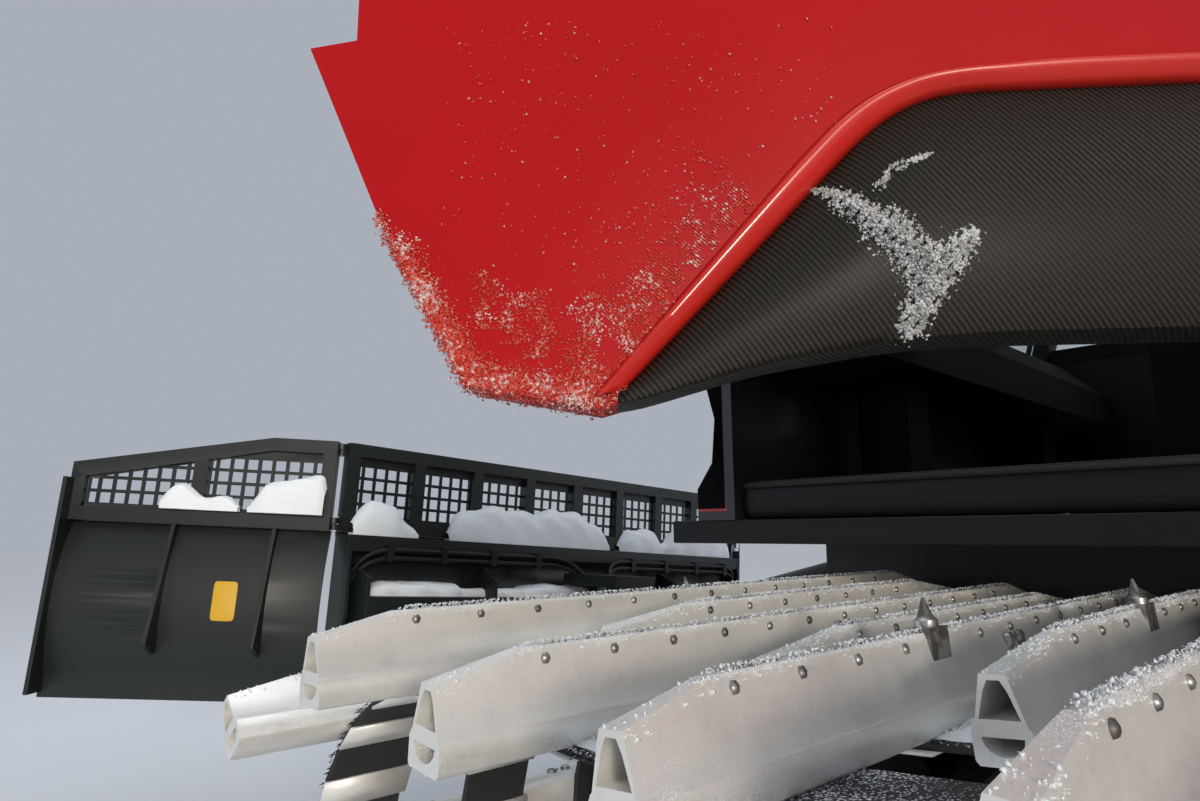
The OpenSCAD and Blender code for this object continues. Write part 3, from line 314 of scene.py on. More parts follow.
# Bar aluminium: pale and satin, with extrusion lines along the bar, grey scuffs and frost, which is
# thickest at a bar's foot and along its top.
bar_paint, shader = finish_of("bar_aluminium", Metallic=0.6)
spot = place_in(shader)
along = add(shader, "ShaderNodeMapping", {"Vector": spot, "Scale": (3.0, 260.0, 260.0)}).outputs[0]
lines = noise(along, 1.0, 4.0)
dull = between(noise(spot, 14.0, 8.0, 0.65), 0.42, 0.78)
scuff = between(noise(spot, 170.0, 3.0), 0.58, 0.78)
worn = scaled(dull, 0.55, scaled(scuff, 0.30))
rise = add(shader, "ShaderNodeAttribute", attribute_name="rise").outputs["Fac"]
at_ends = calc("ADD", between(rise, 0.042, 0.004), between(rise, 0.084, 0.097))
mask, height = frosted(shader, 11.0, 620.0, scaled(at_ends, 0.34, 0.22), 0.16)
metal = mixed(worn, (0.94, 0.915, 0.86), (0.69, 0.68, 0.66))
feed(shader, Base_Color=mixed(mask, metal, snow_white), Metallic=scaled(mask, -0.55, 0.55),
     Roughness=scaled(lines, 0.16, scaled(mask, 0.25, 0.34)))
bumped(shader, scaled(lines, 0.06, height), 0.45, 0.0010)

# Rubber belt: black, with its fabric showing as fine cross lines, and snow trodden into it.
belt_paint, shader = finish_of("belt_rubber")
cords = stripes(place_in(shader), 170.0, "X", Distortion=2.0, Detail=2.0)
mask, height = frosted(shader, 7.0, 300.0, 0.24, 0.34)
feed(shader, Base_Color=mixed(mask, (0.020, 0.020, 0.021), snow_white), Roughness=scaled(mask, 0.1, 0.72))
bumped(shader, scaled(cords, 0.25, height), 0.8, 0.0015)

# Rivets, bolts and spikes: dark hardened steel, worn bright in places.
steel_paint, shader = finish_of("tooth_steel", Metallic=0.9)
worn = between(noise(place_in(shader), 60.0, 5.0), 0.4, 0.65)
steel = mixed(worn, (0.16, 0.15, 0.14), (0.46, 0.45, 0.43))
feed(shader, Base_Color=steel, Roughness=scaled(worn, -0.2, 0.55))

# The tooth strips are of the same steel, worn bright and covered with frost.
strip_paint, shader = finish_of("strip_steel", Metallic=0.7)
mask, height = frosted(shader, 16.0, 520.0, 0.50, 0.30)
feed(shader, Base_Color=mixed(mask, (0.40, 0.39, 0.37), snow_white),
     Roughness=scaled(mask, 0.3, 0.42), Metallic=scaled(mask, -0.7, 0.7))
bumped(shader, height, 0.6, 0.0008)

# Loose snow: small crystals in heaps.
snow_paint, shader = finish_of("snow", Roughness=0.75, Subsurface_Weight=0.15, Subsurface_Scale=0.004)
grain = noise(place_in(shader), 380.0, 3.0)
feed(shader, Base_Color=mixed(grain, (0.78, 0.83, 0.90), (0.97, 0.97, 0.97)))
bumped(shader, grain, 0.5, 0.002)


def belt_path():
    """Pulleys as (y, z, radius to the belt's outside), with the belt's heading after each, its bend
    and arc on it, and where along the loop it starts. A negative radius is a dip, passed on its
    other side."""
    gap = belt_thick + belt_clear
    tops = [(*sprocket_place, sprocket_radius + gap)]
    tops += [(y, axle_height, wheel_radius + gap) for y in wheel_ys[::-1]]
    tops += [(*idler_place, idler_radius + gap)]
    low = axle_height - bar_height
    loop = [(wheel_ys[0] - wheel_ease, axle_height, low), (wheel_ys[-1] + wheel_ease, axle_height, low)]
    loop.append(tops[0])
    for a, b in zip(tops[:-1], tops[1:]):
        loop.append(((a[0] + b[0]) / 2, (a[1] + a[2] + b[1] + b[2]) / 2 - top_dip + sag_radius, -sag_radius))
        loop.append(b)
    p = np.array(loop)
    q = np.roll(p, -1, axis=0)
    step, rise = q[:, :2] - p[:, :2], q[:, 2] - p[:, 2]
    runs = np.sqrt((step ** 2).sum(1) - rise ** 2)
    heads = np.arctan2(step[:, 1], step[:, 0]) - np.arctan2(rise, runs)
    bend = heads - np.roll(heads, 1)
    bend = np.where(p[:, 2] > 0, bend % (2 * np.pi), -((-bend) % (2 * np.pi)))
    arcs = np.abs(bend * p[:, 2])
    starts = np.concatenate([[0], np.cumsum(arcs + runs)])
    return p, heads, bend, arcs, starts


pulley, heads, bend, arcs, starts = belt_path()
loop_length = starts[-1]


def on_path(s):
    """(y, z, heading) of the belt's outside at the distance s round the loop."""
    s = np.asarray(s) % loop_length
    i = np.searchsorted(starts, s, side="right") - 1
    e = s - starts[i]
    h = heads[i] - np.where(e < arcs[i], bend[i] * (1 - e / np.maximum(arcs[i], 1e-9)), 0)
    r, rest = pulley[i, 2], np.maximum(0, e - arcs[i])
    return np.stack([pulley[i, 0] + r * np.sin(h) + rest * np.cos(h),
                     pulley[i, 1] - r * np.cos(h) + rest * np.sin(h), h], -1)


bar_count = 2 * int(round(loop_length / bar_pitch / 2))
crest = starts[-2] + pulley[-1, 2] * (np.pi - heads[-2] % (2 * np.pi))
corner = on_path(crest + (np.arange(bar_count + 1) - 0.5) * loop_length / bar_count)[:, :2]
bar_middle = (corner[1:] + corner[:-1]) / 2
bar_head = np.arctan2(*(corner[1:] - corner[:-1]).T[::-1])


def turned(h, along):
    """Matrices that set local X along the bars, stretched by along, Y along the belt at its
    headings h, and Z out of the loop."""
    turns = np.zeros((len(h), 3, 3))
    turns[:, 0, 0] = along
    turns[:, 1, 1], turns[:, 2, 1] = np.cos(h), np.sin(h)
    turns[:, 1, 2], turns[:, 2, 2] = np.sin(h), -np.cos(h)
    return turns


def bar_frames(which, side):
    """Turn and place of each of these bars."""
    return turned(bar_head[which], side), np.column_stack([np.zeros(len(which)), bar_middle[which]])


strip_height = 0.004
bar_top = bar_height - strip_height
crease = bar_height - end_drop
top_half, crease_half = 0.0058, 0.0112


def bar_outline():
    """Half profiles as (half width, height): the outside, the upper chamber and the round lower one."""
    outside = [(0.022, 0.0), (0.0252, 0.004), (0.0255, 0.026), (0.0230, 0.0315), (0.0215, 0.0325),
               (crease_half, crease), (0.0072, bar_top - 0.003), (top_half, bar_top)]
    upper = [(0.0172, 0.0375), (0.0100, 0.0600), (0.0052, crease - 0.005)]
    a = np.linspace(0, np.pi / 2, 5)
    lower = np.stack([0.0175 * np.cos(a), 0.0235 - 0.0155 * np.sin(a)], -1)
    return np.array(outside), np.array(upper), lower


def mirrored(half):
    """A closed loop from a half profile: up its right side and down its left."""
    left = half[::-1] * (-1, 1)
    left = left[np.abs(left[:, 0]) > 1e-9]
    return np.concatenate([half, left])


def bar_shape(x0, x1, slant):
    """A hollow bar between x0 and x1 whose ends slant back over the top end_drop of its height."""
    outside, upper, lower = bar_outline()
    lower = lower[::-1]
    low, high = outside[outside[:, 1] <= crease + 1e-6], outside[outside[:, 1] >= crease - 1e-6]

    def ended(loop, end):
        back = slant * np.clip((loop[:, 1] - crease) / end_drop, 0, 1)
        x = x1 - back if end else x0 + back
        return np.column_stack([x, loop])

    shapes = []
    for loop, outward in ((mirrored(outside), True), (mirrored(upper), False), (mirrored(lower), False)):
        rings = np.stack([ended(loop, 0), ended(loop, 1)])
        points, faces = swept(rings if outward else rings[::-1])
        shapes.append((points, faces))
    full_face = [np.concatenate([low[::-1], low * (-1, 1)]), mirrored(upper), mirrored(lower)]
    slanted_face = [np.concatenate([high[::-1], high * (-1, 1)])]
    for loops in (full_face, slanted_face):
        flat = np.concatenate(loops)
        tris = np.array(tessellate_polygon([[Vector((p[0], p[1], 0)) for p in l] for l in loops]))
        a, b, c = (flat[tris[:, i]] for i in range(3))
        facing = (b - a)[:, 0] * (c - a)[:, 1] - (b - a)[:, 1] * (c - a)[:, 0]
        tris = np.where(facing[:, None] > 0, tris, tris[:, ::-1])
        shapes.append((ended(flat, 1), [tris]))
        shapes.append((ended(flat, 0), [tris[:, ::-1]]))
    return joined(*shapes)


def tooth_strip(x0, x1, pitch=0.010, thick=0.004):
    """A saw-toothed steel strip with a sharp ridge, strip_height over the bar's top, from x0 to x1."""
    n = int((x1 - x0) / pitch)
    x = x0 + pitch * np.arange(2 * n + 1) / 2
    top = bar_top + strip_height * (np.arange(2 * n + 1) % 2)
    ring = np.stack([np.column_stack([x, 0 * x - thick / 2, 0 * x + bar_top - 0.006]),
                     np.column_stack([x, 0 * x, top + 0.0002]),
                     np.column_stack([x, 0 * x + thick / 2, 0 * x + bar_top - 0.006])], 1)
    return swept(ring, closed=False)


def rivet_rows(x0, x1, spacing=0.094, under=0.011):
    """Domed rivet heads along both sides of a bar, 11 mm under its top edge."""
    dome, faces = lathe([(0.0062, 0.0), (0.0054, 0.0026), (0.0020, 0.0044)], 6)
    x = np.arange(x1, x0, -spacing)
    lean = np.arctan2(crease_half - top_half, bar_top - crease)
    turns, places = [], []
    for side in (-1, 1):
        normal = np.array([0, side * np.cos(lean), np.sin(lean)])
        turns += [np.stack([(1, 0, 0), np.cross(normal, (1, 0, 0)), normal], -1)] * len(x)
        places += [(v, side * (top_half + under * np.tan(lean)), bar_top - under) for v in x]
    return repeated(dome, faces, np.array(turns), np.array(places))


long_bars, short_bars = np.arange(0, bar_count, 2), np.arange(1, bar_count, 2)
short_slant = 1.6 * end_slant
bar_kinds = (
    (long_bars, track_inner, track_outer, end_slant),
    (short_bars, track_inner + short_inner, track_outer - short_outer, short_slant),
)
foot_half, edge = 0.028, 0.003
for side, name in both_sides:
    bars, strips, rivets, rises = [], [], [], []
    for which, x0, x1, slant in bar_kinds:
        frames = bar_frames(which, side)
        shape = bar_shape(x0, x1, slant)
        bars.append(repeated(*shape, *frames))
        rises.append(np.tile(shape[0][:, 2], len(which)))
        strips.append(repeated(*tooth_strip(x0 + slant, x1 - slant), *frames))
        rivets.append(repeated(*rivet_rows(x0 + slant, x1 - slant - 0.008), *frames))
    bars_piece = piece("bars_" + name, *joined(*bars), bar_paint, "bar_metal")
    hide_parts("track_" + name)
    rise = bars_piece.data.attributes.new("rise", "FLOAT", "POINT")
    rise.data.foreach_set("value", np.concatenate(rises).astype(np.float32))
    piece("tooth_strips_" + name, *joined(*strips), strip_paint, "bar_metal")
    piece("bar_rivets_" + name, *joined(*rivets), steel_paint, "bar_metal", smooth=60)

    # The belts lie flat under each bar's foot and bend between the bars.
    tangent = np.column_stack([np.cos(bar_head), np.sin(bar_head)])
    stops = np.stack([bar_middle - foot_half * tangent, bar_middle + foot_half * tangent], 1).reshape(-1, 2)
    h = np.repeat(bar_head, 2)
    stops, h = np.concatenate([stops, stops[:1]]), np.append(h, h[0])
    half = belt_width / 2
    section = np.array([(-half, -edge), (-half + edge, 0), (half - edge, 0), (half, -edge),
                        (half, edge - belt_thick), (half - edge, -belt_thick), (edge - half, -belt_thick),
                        (-half, edge - belt_thick)])
    belts = []
    for x in belt_places:
        ring = np.zeros((len(h), len(section), 3))
        ring[..., 0] = side * (x + section[:, 0])
        ring[..., 1] = stops[:, :1] + np.sin(h)[:, None] * section[:, 1]
        ring[..., 2] = stops[:, 1:] - np.cos(h)[:, None] * section[:, 1]
        belts.append(swept(ring))
    piece("belts_" + name, *joined(*belts), belt_paint, "tyre_rubber", smooth=40)

    # Clamp plates under the belts, one for each bar, left out where the wheels run.
    frames = bar_frames(np.arange(bar_count), side)
    clamp, clamp_faces = box_shape((-0.07, -0.024, -belt_thick - 0.004), (0.07, 0.024, -belt_thick))
    plates = [repeated(clamp + (x, 0, 0), clamp_faces, *frames) for x in belt_places[[0, 1, 4]]]
    piece("clamp_plates_" + name, *joined(*plates), bar_paint, "bar_metal")


# Frost crust: loose crystals along each bar's top and slanted ends, thickest on the left track's
# top run ahead. Each crystal is a splinter with four faces, of its own size and turn.
crystal = np.array([(1.1, 0, -0.5), (-0.6, 0.9, -0.4), (-0.5, -0.9, -0.5), (0.1, 0, 1.2)])
splinter_faces = [np.array([[0, 1, 3], [1, 2, 3], [2, 0, 3], [0, 2, 1]])]
random = np.random.default_rng(7)

# Bars above top_run lie on the top run, and ahead of thick_ahead the left ones hold most crystals.
top_run, thick_ahead, thick_count, thin_count = 0.7, -0.9, 2500, 70


def random_turns(sizes):
    """A random rotation for each size, from normalised quaternions, times that size."""
    q = random.normal(size=(len(sizes), 4))
    w, x, y, z = (q / np.linalg.norm(q, axis=1, keepdims=True)).T
    turns = np.stack([1 - 2 * (y * y + z * z), 2 * (x * y - z * w), 2 * (x * z + y * w),
                      2 * (x * y + z * w), 1 - 2 * (x * x + z * z), 2 * (y * z - x * w),
                      2 * (x * z - y * w), 2 * (y * z + x * w), 1 - 2 * (x * x + y * y)], -1)
    return turns.reshape(-1, 3, 3) * sizes[:, None, None]


def crystals_at(places, low, high):
    """Crystals of a size between low and high, most of them small, at these places."""
    sizes = low + (high - low) * random.random(len(places)) ** 2.5
    return repeated(crystal, splinter_faces, random_turns(sizes), np.asarray(places))


def crust_places(count, x0, x1, slant):
    """Random places on a bar's top line, down both slanted ends and a little down its sides."""
    x = x0 + (x1 - x0) * random.random(count)
    clump = np.sin(x * 61) + np.sin(x * 23 + 1.3) + random.normal(size=count)
    x = x[clump > -0.9]
    back = np.maximum(0, np.maximum(x0 + slant - x, x - x1 + slant)) / slant
    top = bar_height - end_drop * back
    down = 0.012 * random.random(len(x)) ** 3
    half = top_half + (crease_half - top_half) * (back + down / 0.02)
    across = np.where(random.random(len(x)) < 0.5, -1, 1) * half
    across = across * np.where(down > 0.002, 1.0, random.random(len(x)))
    return np.column_stack([x, across, top - down + 0.0008])


for side, name in both_sides:
    near = (bar_middle[:, 1] > top_run) & (bar_middle[:, 0] < thick_ahead) & (side > 0)
    grains = []
    for which, x0, x1, slant in bar_kinds:
        for bar in which:
            turns, start = bar_frames([bar], side)
            places = crust_places(thick_count if near[bar] else thin_count, x0, x1, slant)
            grains.append(places @ turns[0].T + start[0])
    crust = crystals_at(np.concatenate(grains), 0.0006, 0.0023)
    piece("frost_crust_" + name, *crust, snow_paint, "bar_metal")


# Packed snow lies on the belts between the bars of the top runs, with loose grains on it.
def snow_bed(x0, x1, first, second, side, seed):
    """Snow between two bars over one belt: a grid whose height is a sum of waves, nought at its edge."""
    i, j = np.meshgrid(np.linspace(0, 1, 11), np.linspace(0, 1, 8), indexing="ij")
    across = first + (second - first) * j[..., None]
    rim = np.sin(np.pi * i) * np.sin(np.pi * j)
    waves = np.sin(9 * i + seed) * np.cos(7 * j + 2 * seed) + 0.5 * np.sin(23 * i + 19 * j + seed)
    rise = 0.013 * np.sqrt(rim) * (0.75 + 0.35 * waves) + 0.0015 * random.random(i.shape) * (rim > 0)
    top = np.stack([side * (x0 + (x1 - x0) * i), across[..., 0], across[..., 1] + rise], -1)
    grid = np.concatenate([top, top[:, ::-1] - (0, 0, 0.003)], 1)
    return swept(grid), top.reshape(-1, 3)[rise.ravel() > 0.004]


for side, name in both_sides:
    tops = np.flatnonzero((bar_middle[:, 1] > top_run) & (np.roll(bar_middle, -1, axis=0)[:, 1] > top_run))
    beds, dust = [], []
    for bar in tops:
        first, second = bar_middle[bar], bar_middle[(bar + 1) % bar_count]
        gap = 0.020 * (second - first) / np.linalg.norm(second - first)
        for k, x in enumerate(belt_places):
            seed = 1.7 * bar + 3.1 * k
            if np.sin(seed) > -0.35:
                bed, top = snow_bed(x - 0.06, x + 0.06, first + gap, second - gap, side, seed)
                beds.append(bed)
                dust.append(top)
    dust = np.concatenate(dust)
    picked = dust[random.integers(0, len(dust), 7500 if side > 0 else 2000)]
    picked = picked + random.normal(size=picked.shape) * (0.006, 0.004, 0.0008)
    piece("belt_snow_" + name, *joined(*beds), snow_paint, "bar_metal", smooth=80)
    piece("belt_snow_grains_" + name, *crystals_at(picked, 0.0010, 0.0038), snow_paint, "bar_metal")

# The outer belts' edges are frayed: torn threads stand out from them, stiff with ice.
thread = np.array([(0, 0.0016, 0), (0, -0.0016, 0), (0, 0, 0.0022), (1, 0.0006, -0.0006)])
for side, name in both_sides:
    s = np.arange(0, loop_length, 0.0045 if side > 0 else 0.012)
    s = s + 0.002 * random.random(len(s))
    bars_passed = s / (loop_length / bar_count) + 0.5
    k, t = np.floor(bars_passed).astype(int), (bars_passed % 1)[:, None]
    spot = corner[k % bar_count] * (1 - t) + corner[(k + 1) % bar_count] * t
    h = bar_head[k % bar_count]
    long = 0.002 + 0.010 * random.random(len(s)) ** 2
    drop = (0.002 + 0.006 * random.random(len(s)))[:, None] * np.stack([-np.sin(h), np.cos(h)], -1)
    x = np.full(len(s), side * (belt_places[0] + belt_width / 2 - 0.001))
    piece("frayed_belt_edge_" + name,
          *repeated(thread, splinter_faces, turned(h, side * long), np.column_stack([x, spot + drop])),
          belt_paint, "tyre_rubber")

# Cone spikes stand on some bars, screwed into cast holders, and pairs of large bolts hold others.
spike = lathe([(0.0125, 0.0), (0.0125, 0.010), (0.0085, 0.014), (0.0060, 0.020), (0.0014, 0.034)], 12)
holder = box_shape((-0.022, -0.013, -0.030), (0.022, 0.013, 0.003))
bolt = lathe([(0.0100, 0.0), (0.0100, 0.003), (0.0080, 0.006), (0.0030, 0.0075)], 10)
ground_clear = 0.05
for side, name in both_sides:
    shapes = []
    for bars, x in ((short_bars[::3], 1.28), (long_bars[1::4], 1.62)):
        turns, places = bar_frames(bars, side)
        spots = places + turns @ np.array([x, 0, bar_height - 0.002])
        clear = spots[:, 2] > ground_clear
        shapes += [repeated(*shape, turns[clear], spots[clear]) for shape in (spike, holder)]
    turns, places = bar_frames(long_bars, side)
    for x in (1.40, 1.435):
        for out in (-1, 1):
            tip = turns @ np.array([[1, 0, 0], [0, 0, out], [0, -out, 0.0]])
            shapes.append(repeated(*bolt, tip, places + turns @ np.array([x, out * 0.0125, 0.070])))
    piece("spikes_and_bolts_" + name, *joined(*shapes), steel_paint, "bar_metal", smooth=40)


# Cab and hood panels are moulded plastic and sheet metal in gloss red, with their edges rounded
# over. Rigid CAD solids keep their shape here and only get eased edges and a finish.
def eased(node, paint, width=0.003, segments=2, inner=None, drop=None):
    """A copy of a CAD node with its doubles merged, its flat faces joined and its edges rounded.
    Inner is a test of face middles and normals, and the finish of the faces that pass it; drop
    is a test of points, and takes away those that pass."""
    mesh = nodes[node].data.copy()
    copy = linked("eased_" + node, mesh)
    work = bmesh.new()
    work.from_mesh(mesh)
    bmesh.ops.remove_doubles(work, verts=work.verts, dist=2e-5)
    bmesh.ops.dissolve_limit(work, angle_limit=np.radians(0.6), verts=work.verts, edges=work.edges)
    if drop:
        gone = [v for v, out in zip(work.verts, drop(np.array([v.co for v in work.verts]))) if out]
        bmesh.ops.delete(work, geom=gone, context="VERTS")
    work.to_mesh(mesh)
    work.free()
    mesh.materials.clear()
    mesh.materials.append(paint)
    if inner:
        where, shade_lining = inner
        mesh.materials.append(shade_lining)
        count = len(mesh.polygons)
        middles, normals = np.empty(3 * count), np.empty(3 * count)
        mesh.polygons.foreach_get("center", middles)
        mesh.polygons.foreach_get("normal", normals)
        lined = where(middles.reshape(-1, 3), normals.reshape(-1, 3))
        mesh.polygons.foreach_set("material_index", lined.astype(np.int32))
    mesh.shade_smooth()
    mesh.set_sharp_from_angle(angle=np.radians(35))
    made(copy.modifiers.new("rounded", "BEVEL"), width=width, segments=segments, limit_method="ANGLE",
         angle_limit=np.radians(32), harden_normals=True, use_clamp_overlap=True)
    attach(copy, bodies_of[node])
    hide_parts(node)
    return copy


bodies_of = {node: body for body, held in frame["record"]["behaviour"]["bodies"].items() for node in held}


def painted(name, colour, rough, frost_amount=-0.3, wave=0.0, **more):
    """Sprayed or moulded finish: a slight change of tone, a fine orange peel, and frost where it lies."""
    paint, shader = finish_of(name, **more)
    spot = place_in(shader)
    tone, fine = noise(spot, 2.4, 7.0), noise(spot, 420.0)
    mask, height = frosted(shader, 8.0, 420.0, frost_amount, 0.42)
    darker, lighter = tuple(c * 0.80 for c in colour), tuple(min(1.0, c * 1.15) for c in colour)
    body = mixed(tone, darker, lighter)
    feed(shader, Base_Color=mixed(mask, body, snow_white),
         Roughness=scaled(tone, 0.14, scaled(mask, 0.4, rough - 0.07)))
    bumped(shader, scaled(fine, 0.12 + wave, height), 0.35, 0.0010)
    return paint


gloss_red = painted("gloss_red", (0.47, 0.0008, 0.0025), 0.26, -0.14, Coat_Weight=0.26, Coat_Roughness=0.05,
                    Specular_IOR_Level=0.18)
matt_black = painted("matt_black", (0.009, 0.009, 0.010), 0.52, -0.16, wave=0.2, Specular_IOR_Level=0.3)
cabin_black = painted("cabin_black", (0.006, 0.006, 0.007), 0.82, -0.4, wave=0.5, Specular_IOR_Level=0.12)
steel_black = painted("steel_black", (0.010, 0.013, 0.013), 0.42, -0.10, Specular_IOR_Level=0.45)
iron_grey = painted("iron_grey", (0.12, 0.13, 0.14), 0.55, -0.4, Metallic=0.4)
rim_grey = painted("rim_grey", (0.20, 0.20, 0.21), 0.42, -0.15, Metallic=0.5)
tyre_black = painted("tyre_black", (0.020, 0.020, 0.021), 0.72, -0.06, wave=0.5)
bright_steel = painted("bright_steel", (0.52, 0.52, 0.53), 0.30, -0.3, Metallic=0.95)
chrome = painted("chrome", (0.78, 0.78, 0.80), 0.14, -0.5, Metallic=1.0)
mat_black = painted("mat_black", (0.020, 0.020, 0.022), 0.66, -0.22, wave=0.5)
# The lip's red is the door's own red paint made brighter and more orange: a lit copy of it, which paints the
# low warm light falling on the lip's slope.
sunlit_lip_red = painted("sunlit_lip_red", (0.66, 0.020, 0.012), 0.28, -0.10, Coat_Weight=0.4, Coat_Roughness=0.08)
label_yellow = painted("label_yellow", (0.70, 0.40, 0.015), 0.45, -0.12)
mirror_silver = painted("mirror_silver", (0.86, 0.87, 0.88), 0.09, -0.5, Metallic=1.0)

# Faces that look toward this point, inside the cab, are matt black: black trim, and also painted shade inside
# the cab.
cab_middle = np.array([0.0, -1.4, 1.7])


def looks_inward(middles, normals):
    """True for the faces that look toward the middle of the cab."""
    return ((middles - cab_middle) * normals).sum(1) < 0.0


def repaint(paint, *names):
    """Gives CAD nodes a finish, in place of their own."""
    for name in names:
        nodes[name].data.materials.clear()
        nodes[name].data.materials.append(paint)


# The cab's panels are gloss red outside. Inside the cab they are matt black, as trim and as painted shade.
for node in ("engine_hood", "cab_rear_wall", "cab_roof", "tiller_cover"):
    eased(node, gloss_red, 0.006, inner=(looks_inward, matt_black) if node.startswith("cab") else None)
for node in ("body_deck", "hood_grilles", "load_bed", "air_intake", "cab_pillars", "mirrors", "wipers",
             "door_left_window", "door_right_window"):
    eased(node, matt_black, 0.003)
for node in ("seat_bases", "dashboard", "steering_console"):
    eased(node, cabin_black, 0.003)
for node in ("chassis_frame", "push_frame", "rear_lift_frame", "idler_arms"):
    eased(node, steel_black, 0.004)
repaint(iron_grey, "engine_block")
repaint(rim_grey, "wheel_rims")
repaint(tyre_black, "tyres")
repaint(steel_black, "drive_sprockets", "axles", "bed_rails", "blade_turntable", "lift_barrels",
        "rear_barrels")
repaint(chrome, "lift_rods", "rear_rods")
repaint(bright_steel, "exhaust_stack", "tiller_shaft")
repaint(mat_black, "finisher")


# The nose: a moulded shell, black across its top band and inside, with one red strip down each side edge
# ahead of the doors;
# its black inside is trim, and also painted shade inside the cab. The strip's rear edge leans, as a line in Y
# and Z.
strip_low, strip_high, skirt_top = (-2.007, 1.160), (-2.050, 1.360), 1.10
slope = (strip_high[0] - strip_low[0]) / (strip_high[1] - strip_low[1])
nose_paint, shader = finish_of("nose_paint", Coat_Weight=0.6, Coat_Roughness=0.1, Roughness=0.3)
place = place_in(shader)
spot = add(shader, "ShaderNodeSeparateXYZ", {0: place}).outputs
rear_edge = scaled(spot["Z"], slope, strip_low[0] - slope * strip_low[1])
facing = add(shader, "ShaderNodeNewGeometry").outputs["Normal"]
away = add(shader, "ShaderNodeVectorMath", {0: place, 1: (0.0, -1.6, 1.4)}, operation="SUBTRACT").outputs[0]
outward = add(shader, "ShaderNodeVectorMath", {0: facing, 1: away}, operation="DOT_PRODUCT").outputs["Value"]
# Faces that look into the cab fail the outward test and stay black: painted shade as well as trim.
shown = calc("LESS_THAN", spot["Y"], rear_edge)
for test in (calc("LESS_THAN", spot["Z"], strip_high[1]),
             calc("GREATER_THAN", spot["Z"], skirt_top), calc("GREATER_THAN", outward, 0.0)):
    shown = calc("MULTIPLY", shown, test)
mask, height = frosted(shader, 8.0, 420.0, -0.15, 0.42)
black_and_red = mixed(shown, (0.016, 0.016, 0.018), (0.47, 0.006, 0.009))
feed(shader, Base_Color=mixed(mask, black_and_red, snow_white))
bumped(shader, height, 0.3, 0.001)
eased("cab_nose", nose_paint, 0.008, 3)

# Glass is clear and slightly green; the lamps' lenses and the beacon's dome are clear plastic.
glass_paint, shader = finish_of("window_glass", Transmission_Weight=1.0, IOR=1.45, Roughness=0.03)
tone = noise(place_in(shader), 3.0)
feed(shader, Base_Color=mixed(tone, (0.80, 0.88, 0.87), (0.88, 0.93, 0.93)))
repaint(glass_paint, "windscreen", "rear_window", "door_left_glass", "door_right_glass")
lens_paint, shader = finish_of("lamp_lens", Transmission_Weight=0.9, IOR=1.5, Roughness=0.08)
flutes = stripes(place_in(shader), 60.0, "X")
feed(shader, Base_Color=mixed(flutes, (0.86, 0.89, 0.92), (0.96, 0.97, 0.98)))
bumped(shader, flutes, 0.3, 0.002)
repaint(lens_paint, "headlamps", "roof_lamps")
amber_paint, shader = finish_of("amber_lens", Transmission_Weight=0.6, Roughness=0.15)
flutes = stripes(place_in(shader), 45.0, "Z")
feed(shader, Base_Color=mixed(flutes, (0.85, 0.22, 0.02), (1.0, 0.38, 0.04)))
bumped(shader, flutes, 0.4, 0.002)
repaint(amber_paint, "beacon")


# Doors. A pressed red shell with a raised lip that runs back from its lowest corner, and below
# the lip a bulged insert of twill-woven carbon fibre. Frost grains and a snow splash cling on.
door_face, hinge_line, pin_out, open_angle = 1.180, -0.670, 1.194, np.radians(45)
sill = 1.170
rim_line = np.array([(0.060, 0.080), (0.554, 0.075), (0.740, 0.073), (0.834, 0.067), (0.968, 0.044),
                     (1.098, 0.006)])
insert_high = np.array([(0.060, 0.333), (0.524, 0.327), (0.759, 0.322), (0.804, 0.311), (0.849, 0.280),
                        (1.098, 0.016)])
lip_high = np.array([(0.060, 0.363), (0.668, 0.352), (0.777, 0.341), (0.820, 0.326), (0.865, 0.298),
                     (1.116, 0.014)])
front_edge = np.array([(1.424, 0.386), (1.335, 0.177), (1.251, 0.024), (1.121, 0.0)])


def swung(x, y, pin_x, pin_y, angle):
    """(x, y) turned about a pin: dx cos a - dy sin a and dx sin a + dy cos a from the pin."""
    dx, dy = x - pin_x, y - pin_y
    return (pin_x + dx * np.cos(angle) - dy * np.sin(angle),
            pin_y + dx * np.sin(angle) + dy * np.cos(angle))


def door_place(ahead, out, height, side):
    """From (ahead of the hinges, out of the shut door's face, height) to the machine at rest.
    The left door stands open, turned about its pins; the right one is its mirror image, shut."""
    x, y = door_face + out, hinge_line - ahead
    if side > 0:
        x, y = swung(x, y, pin_out, hinge_line, open_angle)
    return np.stack([side * x, y, height + 0 * x], -1)


def door_coords(points, side):
    """The reverse of door_place: (ahead, out, height) of points on a door at rest."""
    x, y = side * points[:, 0], points[:, 1]
    if side > 0:
        x, y = swung(x, y, pin_out, hinge_line, -open_angle)
    return hinge_line - y, x - door_face, points[:, 2]


def eased_line(a, points, width=0.03):
    """A polyline's height at a, averaged over a short stretch so that its corners round off."""
    steps = a[..., None] + width * np.linspace(-1, 1, 9)
    return np.interp(steps, points[:, 0], points[:, 1]).mean(-1)


def along_line(points, count, width=0.03):
    """Evenly spaced points along a polyline, its corners rounded by a moving average."""
    points = np.asarray(points, float)
    run = np.concatenate([[0], np.cumsum(np.linalg.norm(np.diff(points, axis=0), axis=1))])
    s = np.linspace(0, run[-1], count)
    near = np.minimum(width, np.minimum(s, run[-1] - s))
    steps = s[:, None] + near[:, None] * np.linspace(-1, 1, 9)
    return np.stack([np.interp(steps, run, axis).mean(-1) for axis in points.T], -1)


